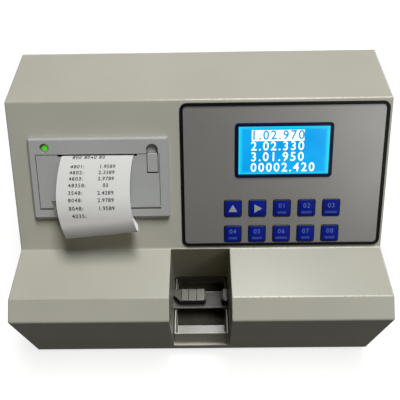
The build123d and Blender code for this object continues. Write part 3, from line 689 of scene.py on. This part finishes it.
def makeDisplay(name, values):
    # lit display: paler along its edges, where the lamps of the backlight are, with dots
    finish, tree, shader = startFinish(name, values["rough"])
    centre = slopePlane @ Vector((values["x"] * mm, values["up"] * mm, 0))
    space = objectSpace(tree, turn=(slopeTurn, 0, 0), centre=centre)
    x, y = (calculate(tree, "ABSOLUTE", axisOf(tree, space, axis)) for axis in "XY")
    halfWide, halfHigh = values["wide"] / 2, values["high"] / 2
    sides = []
    for place, half in ((x, halfWide), (y, halfHigh)):
        start = (half - values["glow"]) * mm
        sides.append(between(tree, place, 0.0, 1.0, start, half * mm))
    rim = calculate(tree, "MAXIMUM", *sides)
    cloud = noise(tree, space, values["cloud"], 2.0)
    cloud = between(tree, cloud, 0, 1, *look["slowSpan"])
    body = blendColour(tree, cloud, values["deep"], values["light"])
    rim = between(tree, rim, 0.0, 1.0, values["ease"], 1.0)
    tone = blendColour(tree, rim, body, values["edge"])
    dots = tree.nodes.new("ShaderNodeTexBrick")
    dots.offset = 0.0
    setInputs(dots, {
        "Scale": 1000.0, "Brick Width": values["dot"], "Row Height": values["dot"],
        "Mortar Size": values["dotGap"], "Mortar": values["between"],
        "Color1": (1, 1, 1, 1), "Color2": (1, 1, 1, 1)})
    tree.links.new(space, dots.inputs["Vector"])
    tone = blendColour(tree, 1.0, tone, dots.outputs["Color"], "MULTIPLY")
    limit = halfHigh - values["border"]
    margin = between(tree, y, 0.0, 1.0, (limit - 0.1) * mm, limit * mm)
    tone = blendColour(tree, margin, tone, values["dark"])
    unlit = blendColour(tree, values["unlitShare"], tone, values["unlit"])
    tree.links.new(unlit, shader.inputs["Base Color"])
    tree.links.new(tone, shader.inputs["Emission Color"])
    shader.inputs["Emission Strength"].default_value = values["power"]
    return finish


finishes["lcd_window"] = makeDisplay("displayLit", display)


lit = {"rough": 0.2, "specular": 0.6, "fall": 0.8, "grain": 1.2, "share": 0.4}


def makeGlow(name, colour, power, rim):
    # a lit face on the slope, deeper where it turns down towards its rim
    finish, tree, shader = startFinish(name, lit["rough"], specular=lit["specular"])
    level = alike(tree, slopePlane.to_3x3() @ Vector((0, 0, 1)))
    level = calculate(tree, "POWER", level, lit["fall"])
    tone = blendColour(tree, level, rim, colour)
    grain = noise(tree, objectSpace(tree), lit["grain"], 2.0)
    grain = between(tree, grain, 0, lit["share"], 0.4, 0.7)
    tone = blendColour(tree, grain, tone, rim)
    tree.links.new(tone, shader.inputs["Base Color"])
    tree.links.new(tone, shader.inputs["Emission Color"])
    shader.inputs["Emission Strength"].default_value = power
    return finish


finishes["led_green"] = makeGlow("lampGreen", (0.09, 0.72, 0.02), 0.38, (0.03, 0.4, 0.01))
litWhite = makeGlow("litWhite", (0.85, 0.97, 1.0), 0.95, (0.8, 0.95, 1.0))
litBlue = makeGlow("litBlue", (0.03, 0.32, 0.62), 0.6, (0.03, 0.3, 0.6))


def makePaper(name, values):
    # thermal paper: smooth coated face, short fibres, a darker patch here and there
    finish, tree, shader = startFinish(
        name, values["rough"], specular=values["specular"], sheen=values["sheen"])
    colour = values["colour"]
    fibre = noise(tree, objectSpace(tree, values["lying"]), values["fibre"], 3.0, 0.6)
    slow = noise(tree, objectSpace(tree), values["patch"], 3.0)
    slow = between(tree, slow, 0, 1, *look["slowSpan"])
    tone = blendColour(tree, slow, colour, shade(colour, values["patchDark"]))
    fibres = between(tree, fibre, 0.0, values["fibreShare"], 0.45, 0.75)
    tone = blendColour(tree, fibres, tone, shade(colour, values["fibreDark"]))
    tree.links.new(tone, shader.inputs["Base Color"])
    tree.links.new(bumps(tree, fibre, values["depth"]), shader.inputs["Normal"])
    return finish


finishes["thermal_paper"] = makePaper("thermalPaper", {
    "colour": (0.80, 0.80, 0.80),
    "rough": 0.5, "specular": 0.35, "sheen": 0.05, "patch": 18, "patchDark": 0.97,
    "fibre": 0.25,
    "lying": (3, 1, 1),     # the fibres are longer across the strip
    "fibreShare": 0.25,
    "fibreDark": 0.92,
    "depth": 0.006,
})

ownFinish = {
    "moving_jaw": jawSteel,
    "fixed_jaw": jawSteel,
    "test_platform": platformGrey,
    "waste_tray": trayPaint,
}
slotOf = {part["node"]: part["material_slot"] for part in frame["record"]["subparts"]}
for node, mesh in nodes.items():
    finish = ownFinish.get(node, finishes[slotOf[node]])
    for holder in mesh.material_slots:
        holder.material = finish
    if not mesh.material_slots:
        mesh.data.materials.append(finish)
print("finishes given to the nodes")

# paper from the printer
paper = {
    "x": -78.5,
    "wide": 56.0,
    "length": 113.0,
    "slitUp": 79.1,
    "slitOut": 1.5,
    "leave": 84.0,         # degrees off the door that it comes out of the slit
    "tilt": -5.1,          # degrees that the curl's axis is turned in the sheet
    "thick": 0.12,
    # (run in mm, turn in degrees) from the slit over the door, square to the sheet's edge
    "over": ((3.2, 0.0), (2.0, 48.5), (32.0, 10.7), (17.75, 24.6), (2.0, 0.0)),
    # then round the curl, along the turned axis
    "curl": ((4.0, 16.0), (6.0, 16.0), (10.0, 88.0), (14.0, 68.0), (12.0, 14.0),
             (14.0, 48.0)),
    "sway": (-11.2, 14.4, -0.6),     # how it wanders sideways over its first run
    "swayRun": 66.0,
    "drift": (79.0, -0.55, 44.0),    # from here, at this rate, off and back over this run
    "bendEnd": 62.0,       # beyond this it stays with the case when the door opens
    "step": 0.25,
    "rows": 240,
    "columns": 24,
}


def courseOf(runs, heading):
    points, place = [(0.0, 0.0)], Vector((0.0, 0.0))
    for run, turn in runs:
        count = int(run / paper["step"])
        for index in range(count):
            heading -= math.radians(turn) / count
            place = place + Vector((math.cos(heading), math.sin(heading))) * paper["step"]
            points.append(tuple(place))
    return points


def alongCourse(points, travel):
    # place and heading after so much travel, straight on at both ends
    place = max(0.0, min(travel / paper["step"], len(points) - 1.001))
    index = int(place)
    first, second = Vector(points[index]), Vector(points[index + 1])
    heading = (second - first).normalized()
    return first + heading * (travel - index * paper["step"]), heading


overPoints = courseOf(paper["over"], math.radians(paper["leave"]))
curlPoints = courseOf(paper["curl"], 0.0)
overRun = sum(run for run, _ in paper["over"])
sheetTilt = math.radians(paper["tilt"])
outward = (slopePlane.to_3x3() @ Vector((0, 0, 1))).normalized()
across = Vector((1, 0, 0))
forward = across.cross(outward)
if forward.y > 0:
    forward = -forward
slit = Vector((paper["x"] * mm, paper["slitUp"] * mm, paper["slitOut"] * mm))
paperStart = slopePlane @ slit
overEnd, overWay = alongCourse(overPoints, overRun)
curlStart = paperStart + (forward * overEnd.x + outward * overEnd.y) * mm
sheetWay = forward * overWay.x + outward * overWay.y
sheetFace = forward * -overWay.y + outward * overWay.x
curlAxis = math.cos(sheetTilt) * across + math.sin(sheetTilt) * sheetWay
curlWay = math.cos(sheetTilt) * sheetWay - math.sin(sheetTilt) * across


def paperPoint(w, s, lift=0.0):
    # a point of the flat sheet, w across and s along, on the sheet as it hangs
    along = w * math.cos(sheetTilt) + (s - overRun) * math.sin(sheetTilt)
    travel = (s - overRun) * math.cos(sheetTilt) - w * math.sin(sheetTilt)
    part = min(s / paper["swayRun"], 1.0)
    aside = sum(amount * part ** power for power, amount in enumerate(paper["sway"], 1))
    start, rate, over = paper["drift"]
    loose = max(0.0, s - start)
    sway = across * (aside + rate * loose * (1 - loose / over)) * mm
    if travel < 0:
        place, way = alongCourse(overPoints, s)
        place = place + Vector((-way.y, way.x)) * lift
        flat = across * w + forward * place.x + outward * place.y
        return paperStart + sway + flat * mm
    place, way = alongCourse(curlPoints, travel)
    place = place + Vector((-way.y, way.x)) * lift
    rolled = curlAxis * along + curlWay * place.x + sheetFace * place.y
    return curlStart + sway + rolled * mm


bpy.ops.mesh.primitive_grid_add(
    x_subdivisions=paper["columns"], y_subdivisions=paper["rows"], size=1.0)
strip = named("paperStrip")
strip.scale = (paper["wide"], paper["length"], 1)
settle(strip)
for vertex in strip.data.vertices:
    vertex.co = paperPoint(vertex.co.x, vertex.co.y + paper["length"] / 2)
modify(strip, "SOLIDIFY", thickness=paper["thick"] * mm, offset=0.0)
smooth(strip, 50)
giveFinish(strip, finishes["thermal_paper"])
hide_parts("paper_strip")

printing = {
    "size": 4.1,
    "bold": 0.09,
    "left": -19.0,
    "leftSpacing": 1.22,
    "right": 9.5,
    "rightSpacing": 1.22 * 0.92,
    "lift": 0.10,
    # distance along the sheet, then what stands left and right
    "lines": (
        (5.0, "800 8040 80", None),
        (13.0, "4801:", "1.9589"),
        (18.0, "4802:", "2.3389"),
        (23.0, "4803:", "2.9789"),
        (28.4, "48358:", "03"),
        (34.3, "3548:", "2.4289"),
        (40.0, "8048:", "2.9789"),
        (46.2, "8048:", "1.9589"),
        (52.0, " 4035:", None),
    ),
}
marks = []
for along, leftText, rightText in printing["lines"]:
    columns = ((leftText, "left", "LEFT"), (rightText, "right", "CENTER"))
    for text, column, align in columns:
        if text:
            marks.append(letters(
                "row", text, printing["size"], printing[column], -along, align=align,
                thick=0.0, bold=printing["bold"], spacing=printing[column + "Spacing"]))
printed = join(marks, "paperPrint")
for vertex in printed.data.vertices:
    vertex.co = paperPoint(vertex.co.x / mm, -vertex.co.y / mm, printing["lift"])
giveFinish(printed, blackInk)
for piece in (strip, printed):
    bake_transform(piece)
print("paper done")

# keys
keys = {
    "x": 66.6, "up": 12.6, "columns": 5, "pitchX": 19.85, "pitchUp": 21.5, "film": 12.5,
    "corner": 1.6, "top": 1.7, "thick": 0.14, "sunk": 0.02, "soft": 0.08,
    "markOut": 0.135,
    # an arrow is a triangle: size, thickness, then turn and place on keys 1 and 2
    "arrow": 4.1,
    "arrowThick": 0.03,
    "arrows": {1: (0, (0, -0.6)), 2: (-math.pi / 2, (-0.4, 0))},
    # number over a small row: size, height on the key, spacing
    "upper": (5.4, 2.0, 1.15),
    "upperBold": 0.06,
    "lower": (2.9, -3.6, 0.95),
}


def keyPlace(number):
    column, row = (number - 1) % keys["columns"], (number - 1) // keys["columns"]
    x = keys["x"] + (column - 2) * keys["pitchX"]
    return x, keys["up"] + (1 - row) * keys["pitchUp"]


def roundedTile(name, wide, high, corner, low, thick, soft):
    # a cube, its upright edges rounded and its top edge softened
    bpy.ops.mesh.primitive_cube_add(size=1.0, location=(0, 0, (low + thick / 2) * mm))
    tile = named(name)
    tile.scale = (wide * mm, high * mm, thick * mm)
    settle(tile)
    roundEdges(tile, corner, 5, lambda e: span(e, 2) > thick * mm / 2)
    top = (low + thick * 0.9) * mm
    roundEdges(tile, soft, 2, lambda e: (
        all(v.co.z > top for v in e.verts)
        and e.is_manifold and e.calc_face_angle(0) > 0.7))
    return tile


tile = roundedTile("keyTile", keys["film"], keys["film"], keys["corner"],
                   keys["top"] - keys["sunk"], keys["thick"], keys["soft"])
giveFinish(tile, keyFilm)
for number in range(1, 11):
    x, up = keyPlace(number)
    film = twin(tile, f"keyFace_{number}")
    settle(film, onSlope(x, up))
    smooth(film)
    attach(film, f"button_{number}")
    if number in keys["arrows"]:
        turn, (aside, above) = keys["arrows"][number]
        bpy.ops.mesh.primitive_cylinder_add(
            vertices=3, radius=keys["arrow"] * mm, depth=keys["arrowThick"] * mm,
            location=(0, 0, 0))
        mark = named(f"keyMark_{number}")
        mark.rotation_euler = (0, 0, turn)
        mark.location = (aside * mm, above * mm, 0)
        settle(mark)
        ink = keyInk
    else:
        size, above, spacing = keys["upper"]
        upper = letters("upper", f"{number - 2:02d}", size, 0, above,
                        bold=keys["upperBold"], spacing=spacing)
        size, above, spacing = keys["lower"]
        lower = letters("lower", "0" * (5 + number % 3), size, 0, above, spacing=spacing)
        mark = join([upper, lower], f"keyMark_{number}")
        ink = keyInkFaint
    settle(mark, onSlope(x, up, keys["top"] + keys["markOut"]))
    giveFinish(mark, ink)
    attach(mark, f"button_{number}")
bpy.data.objects.remove(tile)
print("keys done")

# display: figures, the first row dark on a bar
white, blue = [], []
for body, y in display["rows"]:
    barred = y == display["barUp"]
    piece = letters("figures", body, display["size"], display["x"] + display["left"],
                    display["up"] + y, align="LEFT", spacing=display["spacing"],
                    bold=display["barBold"] if barred else display["bold"])
    (blue if barred else white).append(piece)
sizes = ("Wide", "High", "Corner", "Low", "Thick", "Soft")
bar = roundedTile("bar", *(display["bar" + part] for part in sizes))
barX, barUp = display["x"] + display["barX"], display["up"] + display["barUp"]
settle(bar, Matrix.Translation((barX * mm, barUp * mm, display["barSunk"] * mm)))
white.append(bar)
shown = join(white, "displayFigures")
giveFinish(shown, litWhite)
inverted = join(blue, "displayFigureInverse")
giveFinish(inverted, litBlue)
for piece in (shown, inverted):
    settle(piece, onSlope(0, 0, display["out"]))
    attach(piece, "root")
print("display done")

# bay: a black outline round the tunnel and a dark sheet in the tray, both painted shadow
bay = {
    "half": 24.4, "top": 27.9, "bottom": 10.0, "corner": 4.2, "lip": 0.75,
    "front": 57.62, "thick": 0.36, "soft": 0.1,
    "through": 1,          # how far the cut runs past the outline
}
# a dark sheet on the tray's floor behind its lit front: painted shadow
shadowSheet = {
    "half": 21.3, "front": 17.8, "back": 58.6, "low": 10.32, "thick": 0.8,
    "corner": 1.5, "soft": 0.2,
}


def uprightTile(name, half, bottom, top, corner, front, thick):
    # a cube standing in the bay's back wall, its two upper corners rounded
    bpy.ops.mesh.primitive_cube_add(size=1.0)
    tile = named(name)
    tile.scale = (2 * half * mm, thick * mm, (top - bottom) * mm)
    tile.location = spot(0, front + thick / 2, (top + bottom) / 2)
    settle(tile)
    middle = spot(0, 0, (top + bottom) / 2).z
    roundEdges(tile, corner, 6, lambda e: (
        span(e, 1) > thick * mm / 2 and e.verts[0].co.z > middle))
    return tile


# a black outline standing on the back wall round the tunnel: painted shadow of the gap
# there
shadowOutline = uprightTile("tunnelShadowOutline", bay["half"], bay["bottom"], bay["top"],
                     bay["corner"], bay["front"], bay["thick"])
inner = uprightTile(
    "tunnelInner", bay["half"] - bay["lip"], bay["bottom"] - bay["through"],
    bay["top"] - bay["lip"], bay["corner"] - bay["lip"], bay["front"] - bay["through"],
    bay["thick"] + 2 * bay["through"])
modify(shadowOutline, "BOOLEAN", object=inner, operation="DIFFERENCE", solver="EXACT")
bpy.data.objects.remove(inner)
modify(shadowOutline, "BEVEL", width=bay["soft"] * mm, segments=2, limit_method="ANGLE")
smooth(shadowOutline)
giveFinish(shadowOutline, finishes["rubber_black"])
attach(shadowOutline, "root")

# the dark sheet on the tray's floor, painted shadow, riding with the tray
bpy.ops.mesh.primitive_cube_add(size=1.0)
trayShadowSheet = named("trayShadowSheet")
trayShadowSheet.scale = Vector((2 * shadowSheet["half"], shadowSheet["back"] - shadowSheet["front"], shadowSheet["thick"])) * mm
trayShadowSheet.location = spot(
    0, (shadowSheet["back"] + shadowSheet["front"]) / 2, shadowSheet["low"] + shadowSheet["thick"] / 2)
settle(trayShadowSheet)
roundEdges(trayShadowSheet, shadowSheet["corner"], 4, lambda e: span(e, 2) > shadowSheet["thick"] * mm / 2)
modify(trayShadowSheet, "BEVEL", width=shadowSheet["soft"] * mm, segments=2, limit_method="ANGLE")
smooth(trayShadowSheet)
giveFinish(trayShadowSheet, shadowSheetBlack)
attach(trayShadowSheet, "tray")
print("bay done")

# screws
screws = {
    "head": 2.9, "headHigh": 1.8, "shankRadius": 1.5, "shank": 8.0,
    "cross": (0.75, 3.1, 1.25),      # how wide, long and deep each slot is
    # height on the case, None at the top, and how far it was driven round in degrees
    "places": ((18.0, 25), (92.0, 70), (None, 10)),
    "sideSpin": 20,
}
footScrew = {
    "head": 3.8, "headHigh": 2.4, "shankRadius": 2.1, "shank": 4.4,
    "cross": (1.0, 4.4, 1.6),
}


panHead = {
    "sides": 40,
    "rim": 0.42,           # shares of the head's height: its rounding, where that starts
    "rimFrom": 0.9,
    "above": 1.0,          # how far the cutter stands over the head
    "taper": (0.45, 0.8, 1.0),
    "shankSides": 24,
    "into": 0.1,           # how far the shank reaches into the head
    "point": 0.4,          # the point's share of the shank's radius
}


def crossHead(name, radius, high, cross):
    # pan head standing on z = 0: a cylinder, its rim rounded, with a cross sunk in it
    wide, long, deep = cross
    bpy.ops.mesh.primitive_cylinder_add(
        vertices=panHead["sides"], radius=radius * mm, depth=high * mm,
        location=(0, 0, high / 2 * mm))
    head = named(name)
    rim = high * panHead["rimFrom"] * mm
    roundEdges(head, high * panHead["rim"], 4, lambda e: all(v.co.z > rim for v in e.verts))
    middle = (0, 0, (high - deep / 2 + panHead["above"] / 2) * mm)
    bpy.ops.mesh.primitive_cube_add(size=1.0, location=middle)
    recess = named("recess")
    recess.scale = (long * mm, wide * mm, (deep + panHead["above"]) * mm)
    settle(recess)
    pick(recess, "FACE", lambda f: f.normal.z < -0.9)
    bpy.ops.transform.resize(value=panHead["taper"])
    leaveEdit()
    other = twin(recess, "recessAcross")
    settle(other, Matrix.Rotation(math.pi / 2, 4, "Z"))
    for cutter in (recess, other):
        modify(head, "BOOLEAN", object=cutter, operation="DIFFERENCE", solver="EXACT")
        bpy.data.objects.remove(cutter)
    return head


def shankOf(name, radius, start, end):
    # plain shank along z with a pointed end
    bpy.ops.mesh.primitive_cylinder_add(
        vertices=panHead["shankSides"], radius=radius * mm, depth=abs(end - start) * mm,
        location=(0, 0, (start + end) / 2 * mm))
    shank = named(name)
    roundEdges(shank, radius * panHead["point"], 1, lambda e: (
        all(abs(v.co.z - end * mm) < 0.01 * mm for v in e.verts)))
    return shank


def screwOf(name, values):
    head = crossHead(name + "Head", values["head"], values["headHigh"], values["cross"])
    shank = shankOf("shank", values["shankRadius"], panHead["into"], -values["shank"])
    return join([head, shank], name)


def copiesOf(pattern, places, name):
    # one copy at each place, all joined; the pattern goes
    copies = []
    for place in places:
        copy = twin(pattern, name + "Copy")
        settle(copy, place)
        copies.append(copy)
    bpy.data.objects.remove(pattern)
    piece = join(copies, name)
    smooth(piece)
    giveFinish(piece, finishes["bright_screws"])
    return piece


low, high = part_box("cover_screws")
radius = screws["head"] * mm
edgeX, topZ = high[0] - radius, high[2] - radius
rearFace = high[1] - screws["headHigh"] * mm
facingBack = Matrix.Rotation(-math.pi / 2, 4, "X")
places = []
for side in (-1, 1):
    for up, spin in screws["places"]:
        z = topZ if up is None else (up + case["foot"]) * mm
        place = Matrix.Translation((side * edgeX, rearFace, z))
        driven = Matrix.Rotation(math.radians(spin + screws["sideSpin"] * side), 4, "Z")
        places.append(place @ facingBack @ driven)
rearScrews = copiesOf(screwOf("rearScrew", screws), places, "rearScrews")
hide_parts("cover_screws")
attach(rearScrews, "root")

# foot screws: the same head, larger, upside down in the foot's well
low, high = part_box("foot_screws")
radius = footScrew["head"] * mm
wellTop = low[2] + footScrew["headHigh"] * mm
upsideDown = Matrix.Rotation(math.pi, 4, "X")
places = []
for x in (low[0] + radius, high[0] - radius):
    for y in (low[1] + radius, high[1] - radius):
        driven = Matrix.Rotation(3 * x + y, 4, "Z")
        places.append(Matrix.Translation((x, y, wellTop)) @ upsideDown @ driven)
footScrews = copiesOf(screwOf("footScrew", footScrew), places, "footScrews")
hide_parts("foot_screws")
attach(footScrews, "root")
print("screws done")

# lead screw: a two-start thread wound round its axis, cut square at both ends
thread = {
    "start": -91.3, "end": -58.8, "back": 39.0, "up": 32.0, "outer": 4.0, "root": 3.15,
    "lead": 4.0, "starts": 2, "steps": 28,
    # shares of the pitch at which the profile is at its root or at its crest
    "profile": ((0.0, "root"), (0.3, "root"), (0.45, "outer"), (0.85, "outer")),
    "before": 2,           # leads that it is wound before its start, to be cut square
    "extra": 4,            # turns that it is wound beyond its length
    "journalEnd": -106.0, "journal": 3.0, "chamfer": 0.6, "weld": 0.01,
}
pitch = thread["lead"] / thread["starts"]
windStart = thread["start"] - thread["before"] * thread["lead"]
bpy.ops.mesh.primitive_plane_add(size=1.0)
screw = named("leadScrewThread")
pickOnly(screw)
bpy.ops.object.mode_set(mode="EDIT")
bpy.ops.mesh.delete(type="VERT")
profile = bmesh.from_edit_mesh(screw.data)
outline = [(start + along, level) for start in range(thread["starts"])
           for along, level in thread["profile"]]
outline.append((float(thread["starts"]), "root"))
last = None
for along, level in outline:
    fresh = profile.verts.new(((along * pitch + windStart) * mm, 0, thread[level] * mm))
    if last:
        profile.edges.new((last, fresh))
    last = fresh
bmesh.update_edit_mesh(screw.data)
leaveEdit()
turns = int((thread["end"] - thread["start"]) / thread["lead"]) + thread["extra"]
modify(screw, "SCREW", axis="X", angle=math.tau, screw_offset=thread["lead"] * mm,
       iterations=turns, steps=thread["steps"], render_steps=thread["steps"],
       use_merge_vertices=True, merge_threshold=thread["weld"] * mm)
pickOnly(screw)
bpy.ops.object.mode_set(mode="EDIT")
bpy.ops.mesh.select_all(action="SELECT")
bpy.ops.mesh.remove_doubles(threshold=thread["weld"] * mm)
for cut, outerSide in ((thread["start"], -1), (thread["end"], 1)):
    bpy.ops.mesh.select_all(action="SELECT")
    bpy.ops.mesh.bisect(plane_co=(cut * mm, 0, 0), plane_no=(outerSide, 0, 0),
                        use_fill=True, clear_outer=True)
bpy.ops.mesh.select_all(action="SELECT")
bpy.ops.mesh.normals_make_consistent(inside=False)
leaveEdit()
settle(screw, Matrix.Translation(spot(0, thread["back"], thread["up"])))
reach = thread["start"] - thread["journalEnd"]
bpy.ops.mesh.primitive_cylinder_add(
    vertices=40, radius=thread["journal"] * mm, depth=reach * mm)
journal = named("journal")
roundEdges(journal, thread["chamfer"], 1, lambda e: (
    all(v.co.z < -(reach / 2 - 0.1) * mm for v in e.verts)))
journalPlace = spot(thread["journalEnd"] + reach / 2, thread["back"], thread["up"])
settle(journal, Matrix.Translation(journalPlace) @ Matrix.Rotation(math.pi / 2, 4, "Y"))
screw = join([screw, journal], "leadScrewThread")
smooth(screw, 30)
giveFinish(screw, finishes["machined_steel"])
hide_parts("lead_screw")
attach(screw, "screw")
print("lead screw done")

# floor and light
stage = {
    "floor": 0.0,
    "size": 6.0,
    "bounce": 0.03,        # what the floor gives back to the part
    "seen": 0.36,          # and how light it looks itself
    "glow": 0.78,
    "inGloss": 0.12,
    "airColour": (1.0, 0.82, 0.4),
    "air": 0.017,
    "airSeen": 0.08,
}


def seenBy(tree, glossy=1.0):
    # 1 for what the camera sees, straight or through glass, and a share of it in a gloss
    rays = tree.nodes.new("ShaderNodeLightPath")
    inGloss = rays.outputs["Is Glossy Ray"]
    if glossy < 1.0:
        inGloss = between(tree, inGloss, 0.0, glossy)
    seen = calculate(tree, "MAXIMUM", rays.outputs["Is Camera Ray"], inGloss)
    return calculate(tree, "MAXIMUM", seen, rays.outputs["Is Transmission Ray"])


bpy.ops.mesh.primitive_plane_add(size=stage["size"], location=(0, 0, stage["floor"]))
floor = named("studioFloor")
floorFinish = bpy.data.materials.new("studioFloor")
floorFinish.use_nodes = True
tree = floorFinish.node_tree
tree.nodes.remove(tree.nodes["Principled BSDF"])
seen = seenBy(tree, stage["inGloss"])
matt = tree.nodes.new("ShaderNodeBsdfDiffuse")
mattTone = blendColour(tree, seen, (stage["bounce"],) * 3, (stage["seen"],) * 3)
tree.links.new(mattTone, matt.inputs["Color"])
glow = tree.nodes.new("ShaderNodeEmission")
glow.inputs["Color"].default_value = (1, 1, 1, 1)
tree.links.new(between(tree, seen, 0.0, stage["glow"]), glow.inputs["Strength"])
both = tree.nodes.new("ShaderNodeAddShader")
tree.links.new(matt.outputs["BSDF"], both.inputs[0])
tree.links.new(glow.outputs["Emission"], both.inputs[1])
tree.links.new(both.outputs["Shader"], tree.nodes["Material Output"].inputs["Surface"])
floor.data.materials.append(floorFinish)

world = bpy.data.worlds.new("studio")
bpy.context.scene.world = world
world.use_nodes = True
tree = world.node_tree
background = tree.nodes["Background"]
seen = seenBy(tree)
air = blendColour(tree, seen, stage["airColour"], (1.0, 1.0, 1.0))
tree.links.new(air, background.inputs["Color"])
strength = between(tree, seen, stage["air"], stage["airSeen"])
tree.links.new(strength, background.inputs["Strength"])

# name: place, what it points at, size, watts, colour
lamps = {
    "overheadLamp": ((0.4, 0.22, 2.18), (0, 0, 0.1), (1.3, 0.6), 39.6, (1.0, 1.0, 0.985)),
    "panelLamp": (
        (1.35, -1.75, 1.5), (0.05, 0, 0.12), (1.0, 0.8), 4.8, (1.0, 0.985, 0.94)),
    "frontLamp": ((-0.8, -1.9, 1.1), (0, 0, 0.08), (0.9, 0.7), 0.5, (1.0, 0.8, 0.3)),
    "rearLamp": ((-0.5, 2.0, 0.36), (0, 0, 0.06), (1.2, 0.6), 7.0, (1, 1, 1)),
}
for name, (place, aim, size, power, colour) in lamps.items():
    data = bpy.data.lights.new(name, "AREA")
    data.shape = "RECTANGLE"
    data.size, data.size_y = size
    data.energy = power
    data.color = colour
    lamp = bpy.data.objects.new(name, data)
    lamp.location = place
    towards = Vector(aim) - Vector(place)
    lamp.rotation_euler = towards.to_track_quat("-Z", "Y").to_euler()
    bpy.context.collection.objects.link(lamp)
view = bpy.context.scene.view_settings
view.view_transform = "Standard"
print("light done")
